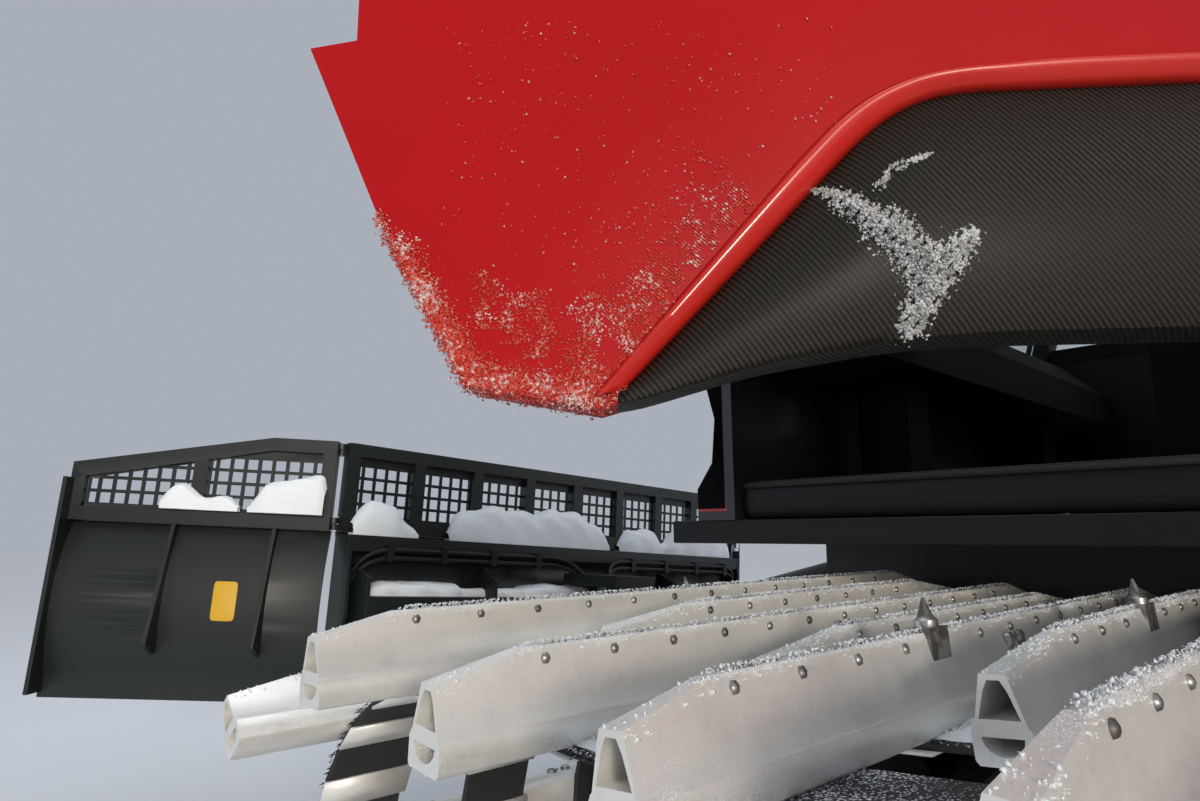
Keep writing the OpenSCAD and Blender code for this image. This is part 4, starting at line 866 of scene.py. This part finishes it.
# Twill weave: slanting ribs a few millimetres apart, each of short crossing threads.
carbon_paint, shader = finish_of("carbon_twill", Coat_Weight=0.08, Coat_Roughness=0.3,
                                 Specular_IOR_Level=0.24)
uv = add(shader, "ShaderNodeUVMap", uv_map="cloth").outputs[0]
slanted = add(shader, "ShaderNodeMapping", {"Vector": uv, "Scale": (1.0, -0.75, 1.0)}).outputs[0]
rib = stripes(slanted, 95.0, "DIAGONAL", Distortion=0.25)
weave = scaled(rib, 0.85, scaled(stripes(uv, 190.0, "X"), 0.15))
dusty = noise(uv, 6.0, 7.0)
crossing = between(weave, 0.25, 0.85)
feed(shader, Base_Color=mixed(crossing, (0.0012, 0.0012, 0.0012), (0.027, 0.021, 0.012)),
     Roughness=scaled(dusty, 0.2, scaled(crossing, -0.08, 0.36)))
bumped(shader, weave, 0.8, 0.0014)

# Half-melted snow on the insert: wetter than the dry crust on the bars, and greyer in patches; the grey is
# painted shade.
wet_shaded_snow, shader = finish_of("wet_shaded_snow", Transmission_Weight=0.25, Coat_Weight=0.4)
clump = noise(place_in(shader), 70.0, 4.0)
whiter = between(clump, 0.35, 0.65)
feed(shader, Base_Color=mixed(whiter, (0.62, 0.62, 0.61), (0.97, 0.97, 0.97)),
     Roughness=scaled(clump, 0.4, 0.1))

# Clear ice on the red paint takes on its colour, with white grains among it.
ice_paint, shader = finish_of("ice_on_red", Roughness=0.22, Coat_Weight=0.5)
spot = place_in(shader)
grain, patch = noise(spot, 240.0), noise(spot, 24.0, 3.0)
whiter = between(scaled(patch, 0.9, grain), 0.93, 1.22)
feed(shader, Base_Color=mixed(whiter, (0.74, 0.060, 0.030), (0.95, 0.72, 0.68)))

insert_back, insert_tip, under_share = 0.060, 1.104, 0.22


def insert_front(ahead, t):
    """How far the insert stands out: a crown that is fullest in its middle, pulled in at its top."""
    room = np.clip((eased_line(ahead, insert_high, 0.012) - eased_line(ahead, rim_line)) / 0.20, 0.05, 1)
    return 0.004 + 0.016 * room * np.sin(np.pi * np.clip(t, 0, 1)) ** 0.8 - 0.014 * np.clip(t, 0, 1) ** 3


def insert_surface(side):
    """Grid of (along, up): under the door's rim, round its lower edge and up over the crown."""
    s, t = np.meshgrid(np.linspace(0, 1, 84), np.linspace(-under_share, 1.0, 40), indexing="ij")
    ahead = insert_back + (insert_tip - insert_back) * s
    low, high = eased_line(ahead, rim_line) - 0.002, eased_line(ahead, insert_high, 0.012) + 0.006
    high = np.maximum(high, low + 0.002)
    under = np.clip(-t / under_share, 0, 1)
    height = low + (high - low) * np.clip(t, 0, 1) - 0.003 * np.sin(np.pi * under)
    out = insert_front(ahead, t) - 0.066 * under
    return door_place(ahead, out, sill + height, side), np.stack([ahead, height - 0.06 * under], -1)


def grid_piece(name, grid, uv, paint, slot, body, facing, thick=0.0):
    """A sheet from a grid of points, turned to look the way of facing, with its own UV map in
    metres, and given a wall behind it by Solidify."""
    points, faces = swept(grid, closed=False)
    quad = points[faces[0]]
    normal = np.cross(quad[:, 2] - quad[:, 0], quad[:, 3] - quad[:, 1]).sum(0)
    if normal @ facing < 0:
        faces = [f[:, ::-1] for f in faces]
    obj = piece(name, points, faces, paint, slot, body, smooth=60, closed=False)
    layer = obj.data.uv_layers.new(name="cloth")
    corner = np.empty(len(obj.data.loops), np.int32)
    obj.data.loops.foreach_get("vertex_index", corner)
    layer.data.foreach_set("uv", uv.reshape(-1, 2)[corner].astype(np.float32).ravel())
    if thick:
        made(obj.modifiers.new("wall", "SOLIDIFY"), thickness=thick, offset=-1)
    return obj


def lip_surface(side):
    """Grid of (along the lip, across it): up from the skin, over a rounded ridge and down a long
    slope to the insert. Towards the door's front tip the lip widens."""
    outer, inner = (along_line(line[::-1], 120, 0.035) for line in (lip_high, insert_high))
    across = inner - outer
    square = across / np.linalg.norm(across, axis=1, keepdims=True)
    outer = outer - square * 0.009 * np.clip((outer[:, :1] - 0.72) / 0.2, 0, 1)
    rows = [outer + square * step for step in (-0.004, 0.0005, 0.003, 0.0065)]
    rows += [outer * 0.62 + inner * 0.38, outer * 0.3 + inner * 0.7, inner]
    flat = np.stack(rows, 1)
    out = np.broadcast_to([-0.0015, 0.0045, 0.0088, 0.0100, 0.0075, 0.0020, -0.0105], flat.shape[:2])
    return door_place(flat[..., 0], out, sill + flat[..., 1], side), flat


def splash_grains(path, count, side):
    """Snow grains about a line of (ahead, height, half width): heaped in its middle, and missing
    where two sums of waves fall low."""
    path = np.asarray(path)
    leg = random.integers(0, len(path) - 1, count)
    t = random.random(count)[:, None]
    spots = path[leg] * (1 - t) + path[leg + 1] * t
    away = random.normal(size=(count, 2)) * 0.62
    ahead, height = (spots[:, :2] + away * spots[:, 2:]).T
    broken = np.sin(ahead * 610 + 2 * np.sin(height * 240)) + np.sin(height * 540 + ahead * 330)
    broken = broken + 0.8 * random.random(count)
    held = (broken > -0.35) | (np.abs(away).sum(1) < 0.25)
    spots, away, ahead, height = spots[held], away[held], ahead[held], height[held]
    low, high = eased_line(ahead, rim_line), eased_line(ahead, insert_high, 0.012)
    heap = 0.75 * spots[:, 2] * np.exp(-(away ** 2).sum(1)) * random.random(len(ahead))
    return door_place(ahead, insert_front(ahead, (height - low) / (high - low)) + heap, sill + height, side)


def red_frost(side, share):
    """Places of the ice on the red skin: a crust round the lower edges, streaks above the bottom
    one, a patch beside the lip, and scattered flecks."""
    def spread(points, count, width):
        run = along_line(points, 400, 0.0)
        return run[random.integers(0, 400, count)] + random.normal(size=(count, 2)) * width

    n = int(5200 * share)
    crust = spread(np.array([(1.345, 0.200), (1.251, 0.026), (1.121, 0.003), (1.098, 0.020)]), n, 0.0035)
    crust_out = -0.050 * random.random(n) ** 2 + 0.002
    fuzz = spread(np.array([(1.325, 0.165), (1.245, 0.034), (1.119, 0.012)]), n, 0.009)
    streaks = []
    for foot in (1.235, 1.205, 1.178, 1.140, 1.128, 1.095, 1.078, 1.062):
        length = 0.035 + 0.07 * random.random()
        rise = random.random(int(300 * share))
        ahead = foot + 0.006 * np.sin(rise * 9 + foot * 70) + 0.007 * random.normal(size=len(rise))
        low = 0.022 + 0.5 * np.abs(foot - 1.12)
        streaks.append(np.column_stack([ahead, low + length * rise ** 1.3]))
    lip = along_line(lip_high, 400, 0.03)
    lip = lip[(lip[:, 0] > 0.95) & (lip[:, 0] < 1.08)]
    beside = lip[random.integers(0, len(lip), int(1800 * share))] + (0.011, 0.011)
    away = np.abs(random.normal(size=(len(beside), 1))) ** 1.3 * 0.028
    beside = beside + away * np.array([(0.75, 0.66)])
    beside = beside[np.sin(beside[:, 0] * 190) * np.sin(beside[:, 1] * 160 + 2) > -0.35]
    n = int(500 * share)
    flecks = np.column_stack([0.88 + 0.40 * random.random(n), 0.05 + 0.36 * random.random(n)])
    flecks = flecks[flecks[:, 1] > eased_line(flecks[:, 0], lip_high) + 0.010]
    flat = np.concatenate([fuzz, *streaks, beside, flecks])
    ahead, height = flat.T
    over_edge = height - np.interp(ahead, front_edge[::-1, 0], front_edge[::-1, 1])
    over_lip = height - eased_line(ahead, lip_high)
    flat = flat[(over_edge > 0.001) & (over_lip > 0.002) | (ahead > 1.118) & (over_edge > 0)]
    on_skin = door_place(flat[:, 0], np.full(len(flat), 0.0006), sill + flat[:, 1], side)
    return np.concatenate([on_skin, door_place(crust[:, 0], crust_out, sill + crust[:, 1], side)])


for side, name in both_sides:
    body = "door_" + name
    outward = door_place(0, 1, 0, side) - door_place(0, 0, 0, side)

    def on_lip(points, side=side):
        ahead, out, height = door_coords(points, side)
        return (out > 0.0006) & (ahead > 0.055)

    def faces_in(middles, normals, outward=outward):
        return normals @ outward < -0.5

    # The shell's inside faces are matt black: black trim, and also painted shade inside the door.
    eased("door_" + name + "_shell", gloss_red, 0.0045, 3, inner=(faces_in, matt_black), drop=on_lip)
    grid, uv_metres = lip_surface(side)
    # The lip takes the lit copy of the door's red: painted light on its slope.
    grid_piece("door_lip_" + name, grid, uv_metres, sunlit_lip_red, "red_paint", body, outward, 0.003)
    grid, uv_metres = insert_surface(side)
    insert = grid_piece("carbon_insert_" + name, grid, uv_metres, carbon_paint, "carbon_panel", body,
                        outward, 0.004)
    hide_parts("door_" + name + "_insert")
    flecks = red_frost(side, 1.7 if side > 0 else 0.2)
    piece("door_frost_" + name, *crystals_at(flecks, 0.0005, 0.0021), ice_paint, "red_paint", body)

splash = [(0.907, 0.222, 0.006), (0.874, 0.195, 0.011), (0.850, 0.172, 0.010), (0.842, 0.165, 0.018),
          (0.826, 0.148, 0.014), (0.812, 0.128, 0.016), (0.808, 0.110, 0.012), (0.822, 0.082, 0.010),
          (0.830, 0.071, 0.006)]
splash_arm = [(0.812, 0.124, 0.014), (0.790, 0.136, 0.013), (0.766, 0.163, 0.005)]
thin_arm = [(0.851, 0.212, 0.004), (0.833, 0.235, 0.005), (0.796, 0.248, 0.002)]
arms = ((splash, 11000), (splash_arm, 4400), (thin_arm, 420))
grains = np.concatenate([splash_grains(path, count, 1) for path, count in arms])
piece("snow_splash_left", *crystals_at(grains, 0.0006, 0.0027), wet_shaded_snow, "carbon_panel", "door_left")


# Sills: a pressed black panel closes each side of the cab's tub under its door, its black also painted shade
# of the cab's floor there, with a ribbed rubber tread along its top edge where people climb in over the
# tracks.
deck_top = 1.080


def tube(path, radius, sides=10):
    """Rings square to a path of points, each turned by the path's own direction."""
    path = np.asarray(path, float)
    heading = np.gradient(path, axis=0)
    heading /= np.linalg.norm(heading, axis=1, keepdims=True)
    across = np.cross(heading, (0.13, 0.21, 1.0))
    across /= np.linalg.norm(across, axis=1, keepdims=True)
    over = np.cross(heading, across)
    a = 2 * np.pi * np.arange(sides)[:, None] / sides
    rings = np.cos(a) * across[:, None] + np.sin(a) * over[:, None]
    return swept(path[:, None] + radius * rings, caps=True)


def plate(middle, half_u, half_v, u, v, thick, power=6.0, sides=48):
    """A flat plate with a superellipse outline, |x/a|^p + |y/b|^p = 1, and a rounded front edge."""
    middle, u, v = (np.asarray(q, float) for q in (middle, u, v))
    a = 2 * np.pi * np.arange(sides) / sides
    x, y = (np.sign(q) * np.abs(q) ** (2 / power) for q in (np.cos(a), np.sin(a)))
    flat = (x * half_u)[:, None] * u + (y * half_v)[:, None] * v
    rings = [(1.0, 0.0), (1.0, 0.6), (0.985, 0.9), (0.95, 1.0)]
    return swept(np.stack([middle + flat * k + thick * h * np.cross(u, v) for k, h in rings]), caps=True)


sill_back, sill_front, sill_top, bead_pitch = -0.700, -1.962, 1.160, 0.18
for side, name in both_sides:
    u, t = np.meshgrid(np.linspace(sill_back, sill_front, 120), np.linspace(0, 1, 14), indexing="ij")
    beads = 0.0025 * np.abs(np.sin(np.pi * (u - sill_back) / bead_pitch)) ** 0.3 * np.sin(np.pi * t)
    x = 1.078 + 0.012 * np.sin(np.pi * t) ** 0.6 + beads
    z = deck_top + 0.001 + (sill_top - deck_top) * t
    grid_piece("sill_panel_" + name, np.stack([side * x, u, z], -1), np.stack([u, z], -1), matt_black,
               "black_panel", "root", np.array([side, 0, 0]), 0.004)
    ribs = [box_shape((1.040, sill_front, sill_top - 0.012), (1.092, sill_back, sill_top - 0.002))]
    low, high = (sill_front + 0.01, sill_top - 0.003), (sill_back - 0.01, sill_top + 0.002)
    ribs += [box_shape((x, *low), (x + 0.005, *high)) for x in 1.046 + 0.010 * np.arange(4)]
    points, faces = joined(*ribs)
    piece("sill_tread_" + name, points * (side, 1, 1), faces, tyre_black, "mat_rubber")

# Lamps: clear lenses in black bezels, each over a bright reflector bowl with a bulb holder.
bowl, bowl_faces = lathe([(0.010, 0.0), (0.024, 0.004), (0.038, 0.011), (0.050, 0.024), (0.047, 0.024),
                          (0.034, 0.012), (0.014, 0.007), (0.007, 0.016), (0.004, 0.018)], 24)
ring_angle = 2 * np.pi * np.arange(33) / 32
forward = np.array([[1, 0, 0], [0, 0, -1], [0, 1, 0.0]])  # turns a bowl's axis from up to ahead
headlamps = np.array([(x, -2.459, deck_top + 0.250) for x in (-0.430, -0.280, 0.280, 0.430)])
roof_lamps = np.array([(x, -1.876, 2.656) for x in (-0.8, -0.52, -0.24, 0.24, 0.52, 0.8)])
for name, spots, slim, deep in (("headlamp", headlamps, 1.0, 0.034), ("roof_lamp", roof_lamps, 0.887, 0.060)):
    turns = np.repeat(forward[None], len(spots), 0)
    bowls = repeated(bowl * (slim, slim, 1), bowl_faces, turns, spots - (0, deep - 0.029, 0))
    piece(name + "_reflectors", *bowls, chrome, "stainless", smooth=50)
    hoop = 0.0655 * slim * np.column_stack([np.cos(ring_angle), 0 * ring_angle, np.sin(ring_angle)])
    hoops = [tube(spot - (0, deep - 0.004, 0) + hoop, 0.0045, 8) for spot in spots]
    piece(name + "_bezels", *joined(*hoops), matt_black, "black_panel", smooth=60)

# Mirror panes: silvered glass, set in the rear face of each black mirror head.
for side, name in both_sides:
    pane = plate((side * 1.116, -2.1842, 2.401), 0.074, 0.185, (-1, 0, 0), (0, 0, 1), 0.0035)
    piece("mirror_pane_" + name, *pane, mirror_silver, "rod_chrome", smooth=40)

# Deck: chequer plate behind the hood, its pressed lozenges lying crosswise in turn.
lozenge_pitch = 0.0358
deck_x, deck_y = np.meshgrid(np.arange(-1.072, 1.08, lozenge_pitch), np.arange(1.275, 2.18, lozenge_pitch),
                             indexing="ij")
odd = (np.add.outer(np.arange(deck_x.shape[0]), np.arange(deck_x.shape[1])) % 2).ravel()
angle = np.radians(45) + odd * np.pi / 2
turns = np.zeros((len(angle), 3, 3))
turns[:, 0, 0], turns[:, 1, 1], turns[:, 2, 2] = np.cos(angle), np.cos(angle), 1
turns[:, 1, 0], turns[:, 0, 1] = np.sin(angle), -np.sin(angle)
outline = np.array([(0.0135, 0), (0.006, 0.0034), (-0.006, 0.0034), (-0.0135, 0), (-0.006, -0.0034),
                    (0.006, -0.0034)])
foot_and_top = ((1.0, -0.0004), (0.72, 0.0018))
lozenge = swept(np.stack([np.column_stack([outline * k, np.full(6, h)]) for k, h in foot_and_top]), caps=True)
places = np.column_stack([deck_x.ravel(), deck_y.ravel(), np.full(len(angle), deck_top)])
piece("deck_chequers", *repeated(*lozenge, turns, places), matt_black, "frame_steel", smooth=30)

# Door handles: a black backplate with a pull bar on each door, near its rear edge.
handle_ahead = 0.155
handle_bar = [(0.004, 0.500), (0.026, 0.505), (0.030, 0.490), (0.030, 0.430), (0.026, 0.415), (0.004, 0.420)]
for side, name in both_sides:
    fore = door_place(1.0, 0.0, 0.0, side) - door_place(0.0, 0.0, 0.0, side)
    fore /= np.linalg.norm(fore)
    middle = door_place(handle_ahead, 0.0, sill + 0.460, side)
    back_plate = plate(middle, 0.026, 0.062, -side * fore, (0, 0, 1), 0.006, 5.0, 32)
    bar = [door_place(handle_ahead, out, sill + height, side) for out, height in handle_bar]
    bar = along_line(bar, 24, 0.006)
    piece("door_handle_" + name, *joined(back_plate, tube(bar, 0.0065)), matt_black, "black_panel",
          "door_" + name, smooth=50)

# Finisher: the rubber comb behind the tiller has a moulded rib every 70 mm, from root to tail.
profile = np.array([(3.600, 0.4220), (3.935, 0.2400), (4.524, 0.2008)])
slope = np.gradient(profile, axis=0)
square = np.column_stack([-slope[:, 1], slope[:, 0]]) / np.linalg.norm(slope, axis=1, keepdims=True)
rows = [(-0.009, -0.003), (0.009, -0.003), (0.004, 0.009), (-0.004, 0.009)]
rib_rings = np.stack([np.column_stack([np.full(3, x), profile + h * square]) for x, h in rows], 1)
rib_x = np.arange(-2.205, 2.21, 0.070)
turns, places = np.repeat(np.eye(3)[None], len(rib_x), 0), np.column_stack([rib_x, np.zeros((len(rib_x), 2))])
piece("finisher_ribs", *repeated(*swept(rib_rings, caps=True), turns, places), mat_black, "mat_rubber",
      "rear_lift", smooth=30)

# Hood: two black latches on each side, each a rounded backplate with a bent grip on it.
latch_height, hood_side = 1.545, 1.0002
grip = [(1.012, -0.018), (1.018, -0.010), (1.018, 0.010), (1.012, 0.018)]
latches = []
for side in (1, -1):
    for y in (-0.36, 1.10):
        middle = (side * hood_side, y, latch_height)
        latches.append(plate(middle, 0.030, 0.016, (0, side, 0), (0, 0, 1), 0.010, 4.0, 24))
        latches.append(tube([(side * x, y + along, latch_height) for x, along in grip], 0.004, 8))
piece("hood_latches", *joined(*latches), matt_black, "black_panel", smooth=40)

# Seats: foam under black cloth. Each cover is sewn a little small, so the foam swells it between
# its seams, and a piping runs round its edge. Two channels are sewn across each face.
cloth_paint, shader = finish_of("seat_cloth", Roughness=0.9, Sheen_Weight=0.2)
spot = place_in(shader)
knit = calc("MULTIPLY", stripes(spot, 260.0, "X"), stripes(spot, 260.0, "Z"))
feed(shader, Base_Color=mixed(knit, (0.020, 0.020, 0.022), (0.060, 0.060, 0.066)))
bumped(shader, knit, 0.5, 0.001)


def pad_shape(low, high, lean, taper):
    """A block between two corners with its edges drawn in: each point of a cube's grid is moved by
    the sixth root of its coordinates' summed powers, then narrowed upwards and leaned back."""
    u = np.linspace(-1, 1, 18)
    a, b = np.meshgrid(u, u, indexing="ij")
    one = np.ones_like(a)
    sides = [(a, b, one), (b, a, -one), (one, a, b), (-one, b, a), (b, one, a), (a, -one, b)]
    p = np.concatenate([np.stack(f, -1).reshape(-1, 3) for f in sides])
    n = len(u)
    i, j = np.meshgrid(np.arange(n - 1), np.arange(n - 1), indexing="ij")
    quad = np.stack([i * n + j, (i + 1) * n + j, (i + 1) * n + j + 1, i * n + j + 1], -1).reshape(-1, 4)
    faces = np.concatenate([quad + k * n * n for k in range(6)])
    p = p * (np.abs(p) ** 6).sum(1, keepdims=True) ** (-1 / 6.0)
    p[:, 0] *= 1 - taper * (p[:, 2] + 1) / 2
    p = p * (high - low) / 2 + (high + low) / 2
    p[:, 1] += np.tan(lean) * (p[:, 2] - low[2])
    return p, [faces]


def coords(mesh):
    """A mesh's points as one array."""
    out = np.empty(3 * len(mesh.vertices))
    mesh.vertices.foreach_get("co", out)
    return out.reshape(-1, 3)


seat_bottom, seat_upper, back_upper = deck_top + 0.262, deck_top + 0.392, deck_top + 1.040
swell, voxel, pressure, last_frame, back_lean, channel = 0.024, 0.016, 4.0, 20, 0.13, 0.009
pads = []
for k, (x, wide) in enumerate(((0.180, 0.520), (-0.520, 0.460))):
    seat_low = (x - wide / 2 + 0.018, hinge_line - 0.585, seat_bottom)
    seat_high = (x + wide / 2 - 0.018, hinge_line - 0.125, seat_upper - 0.012)
    back_low = (x - wide / 2 + 0.034, hinge_line - 0.192, seat_upper + 0.012)
    back_high = (x + wide / 2 - 0.034, hinge_line - 0.112, back_upper)
    for name, low, high, lean, taper in ((f"seat_pad_{k}", seat_low, seat_high, 0.0, 0.0),
                                         (f"back_pad_{k}", back_low, back_high, back_lean, 0.10)):
        points, faces = pad_shape(np.array(low), np.array(high), lean, taper)
        pad = piece(name, points, faces, cloth_paint, "seat_cloth", smooth=180)
        work = bmesh.new()
        work.from_mesh(pad.data)
        bmesh.ops.remove_doubles(work, verts=work.verts, dist=1e-5)
        bmesh.ops.recalc_face_normals(work, faces=work.faces)
        work.to_mesh(pad.data)
        work.free()
        pads.append((pad, low, high, name.startswith("seat")))

for pad, low, high, flat in pads:
    grid = made(pad.modifiers.new("grid", "REMESH"), mode="VOXEL", voxel_size=voxel)
    skin = bpy.data.meshes.new_from_object(pad.evaluated_get(bpy.context.evaluated_depsgraph_get()))
    pad.modifiers.remove(grid)
    pad.data = skin
    skin.materials.clear()
    skin.materials.append(cloth_paint)
    cover = pad.modifiers.new("cover", "CLOTH")
    made(cover.settings, use_pressure=True, uniform_pressure_force=pressure, quality=4)
    cover.settings.effector_weights.gravity = 0.0
    made(cover.point_cache, frame_start=1, frame_end=last_frame)
for number in range(1, last_frame + 1):
    bpy.context.scene.frame_set(number)
drawn = bpy.context.evaluated_depsgraph_get()
for pad, low, high, flat in pads:
    start, blown = coords(pad.data), coords(pad.evaluated_get(drawn).data)
    step = blown - start
    step *= np.minimum(1, swell / np.maximum(np.linalg.norm(step, axis=1, keepdims=True), 1e-9))
    pad.modifiers.remove(pad.modifiers["cover"])
    pad.data.vertices.foreach_set("co", (start + step).ravel())
bpy.context.scene.frame_set(1)

pipings = []
for pad, low, high, flat in pads:
    p = coords(pad.data)
    middle, half = (np.array(low) + high) / 2, (np.array(high) - low) / 2
    if flat:
        for x in (-0.36, 0.36):
            groove = np.exp(-((p[:, 0] - middle[0] - x * half[0]) / channel) ** 2) * (p[:, 2] > middle[2])
            p[:, 2] -= channel * groove
    else:
        for z in (0.30, 0.62):
            groove = np.exp(-((p[:, 2] - low[2] - z * (high[2] - low[2])) / channel) ** 2)
            front = p[:, 1] < middle[1] + np.tan(back_lean) * (p[:, 2] - low[2])
            p[:, 1] += channel * groove * front
    p[:, 2] = np.clip(p[:, 2], low[2], high[2] + 0.012)
    pad.data.vertices.foreach_set("co", p.ravel())
    pad.data.update()
    pad.data.shade_smooth()
    made(pad.modifiers.new("smooth", "SUBSURF"), levels=1, render_levels=1)
    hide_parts("seat_cushions")
    ring = 2 * np.pi * np.arange(49) / 48
    c, s = (np.sign(q) * np.abs(q) ** (1 / 3) for q in (np.cos(ring), np.sin(ring)))
    if flat:
        x, y = middle[0] + c * (half[0] + 0.004), middle[1] + s * (half[1] + 0.004)
        z = np.full(49, high[2] - 0.016)
    else:
        z = middle[2] + s * (half[2] - 0.004)
        x = middle[0] + c * (half[0] + 0.002) * (1 - 0.05 * (s + 1))
        y = low[1] + 0.010 + np.tan(back_lean) * (z - low[2])
    edge = np.column_stack([x, y, z])
    pipings.append(tube(edge, 0.0045, 8))
piece("seat_pipings", *joined(*pipings), tyre_black, "seat_cloth", smooth=60)


# Blade, guard and wings are welded steel plate in black, with snow lying on every ledge. The whole
# blade is rolled a little on its turntable, and the wings are folded forward on their pins.
for node in ("blade_centre", "wing_left", "wing_right"):
    eased(node, steel_black, 0.003)
repaint(steel_black, "blade_guard")

blade_front, blade_top, blade_half = -3.840, 0.990, 1.180
turntable_height, blade_tilt, wing_turn = 0.680, np.radians(3.6), np.radians(37)
ledge_top, wing_pin_gap = 0.980, 0.005


def on_blade(points, wing=0):
    """From the level, straight blade to the blade at rest: a wing's points turn about its pins,
    and then all roll about the turntable's shaft."""
    x, y, z = np.moveaxis(points, -1, 0)
    if wing:
        x, y = swung(wing * x, y, blade_half + wing_pin_gap, blade_front, -wing_turn)
        x = wing * x
    x, z = swung(x, z, 0.0, turntable_height, blade_tilt)
    return np.stack([x, y, z], -1)


def snow_bank(name, x0, x1, back, depth, foot, height, seed, body, wing=0, gaps=0.0):
    """Snow packed along a plate: a quarter of a squared ellipse in section, whose height and depth
    follow a sum of waves along X. Where the waves fall below gaps there is none."""
    n = int(abs(x1 - x0) / 0.012) + 4
    s = np.linspace(0, 1, n)
    x = x0 + (x1 - x0) * s
    wave = 0.58 + 0.24 * np.sin(x * 5 + seed) + 0.13 * np.sin(x * 13 + 2 * seed)
    wave = wave + 0.035 * np.sin(x * 37 + 3 * seed)
    wave = 0.92 * np.clip((wave - gaps) / 0.16, 0, 1) ** 0.5 * (0.35 + 0.65 * np.clip(wave, 0, 1))
    wave *= np.clip(30 * np.minimum(s, 1 - s), 0, 1) ** 0.5
    a = np.linspace(0, np.pi / 2, 12)
    bump = 1 + 0.045 * np.sin(x[:, None] * 41 + 3 * a) * np.sin(5 * a + seed)
    y = back + depth * (0.35 + 0.65 * wave[:, None]) * np.sin(a) ** 0.7 * bump
    z = foot - 0.002 + height * wave[:, None] * np.cos(a) ** 0.6 * bump
    ring = np.stack([np.broadcast_to(x[:, None], y.shape), y, z], -1)
    floor = ring[:, ::-1].copy()
    floor[..., 2] = foot - 0.004
    points, faces = swept(on_blade(np.concatenate([ring, floor], 1), wing), caps=True)
    keep = wave > 0.02
    solid = faces[0][np.all(keep[faces[0] // 24], axis=1)]
    piece(name, points, [solid], snow_paint, "blade_black", body, smooth=70)
    return on_blade(ring[keep], wing).reshape(-1, 3)


banks = [snow_bank("guard_snow", -1.16, 1.16, -3.790, 0.075, ledge_top, 0.205, 0.4, "blade", gaps=0.30),
         snow_bank("board_snow", -1.10, 1.10, -3.755, 0.110, 0.762, 0.075, 2.1, "blade", gaps=0.40),
         snow_bank("ledge_snow", -1.00, 1.12, -3.722, 0.050, 0.760, 0.045, 4.4, "blade", gaps=0.30)]
heap = crystals_at(np.concatenate(banks)[::2], 0.0015, 0.0038)
piece("guard_snow_grains", *heap, snow_paint, "blade_black", "blade")
for wing, name in both_sides:
    heap = snow_bank("wing_snow_" + name, wing * 1.20, wing * 1.96, -3.790, 0.062, blade_top + 0.058, 0.165,
                     1.1 + wing, "wing_" + name, wing, gaps=0.38)
    heap = crystals_at(heap[::2], 0.0015, 0.0038)
    piece("wing_snow_grains_" + name, *heap, snow_paint, "blade_black", "wing_" + name)

# Hydraulic lines: two steel pipes clipped along the blade's back, from the turntable to each wing.
pipe_path = np.array([(0.06, -3.600, 0.800), (0.12, -3.660, 0.880), (0.20, -3.690, 0.900),
                      (1.04, -3.690, 0.900), (1.12, -3.700, 0.870), (1.15, -3.745, 0.800)])
for side, name in both_sides:
    shapes = []
    for rise in (0.0, 0.030):
        path = pipe_path + (0, 0, rise)
        shapes.append(tube(on_blade(along_line(path, 80, 0.035) * (side, 1, 1)), 0.0085))
    for x in np.arange(0.30, 1.05, 0.24):
        points, faces = box_shape((x - 0.014, -3.712, 0.884), (x + 0.014, -3.678, 0.946))
        shapes.append((on_blade(points * (side, 1, 1)), faces if side > 0 else [f[:, ::-1] for f in faces]))
    piece("blade_pipes_" + name, *joined(*shapes), matt_black, "blade_black", "blade", smooth=50)

# One blank yellow plate is fixed to the back of each wing.
for wing, name in both_sides:
    points, faces = plate((1.524, -3.7642, 0.722), 0.042, 0.070, (-1, 0, 0), (0, 0, 1), 0.0045, 9.0)
    piece("wing_plate_" + name, on_blade(points * (wing, 1, 1), wing), faces, label_yellow, "blade_black",
          "wing_" + name, smooth=40)
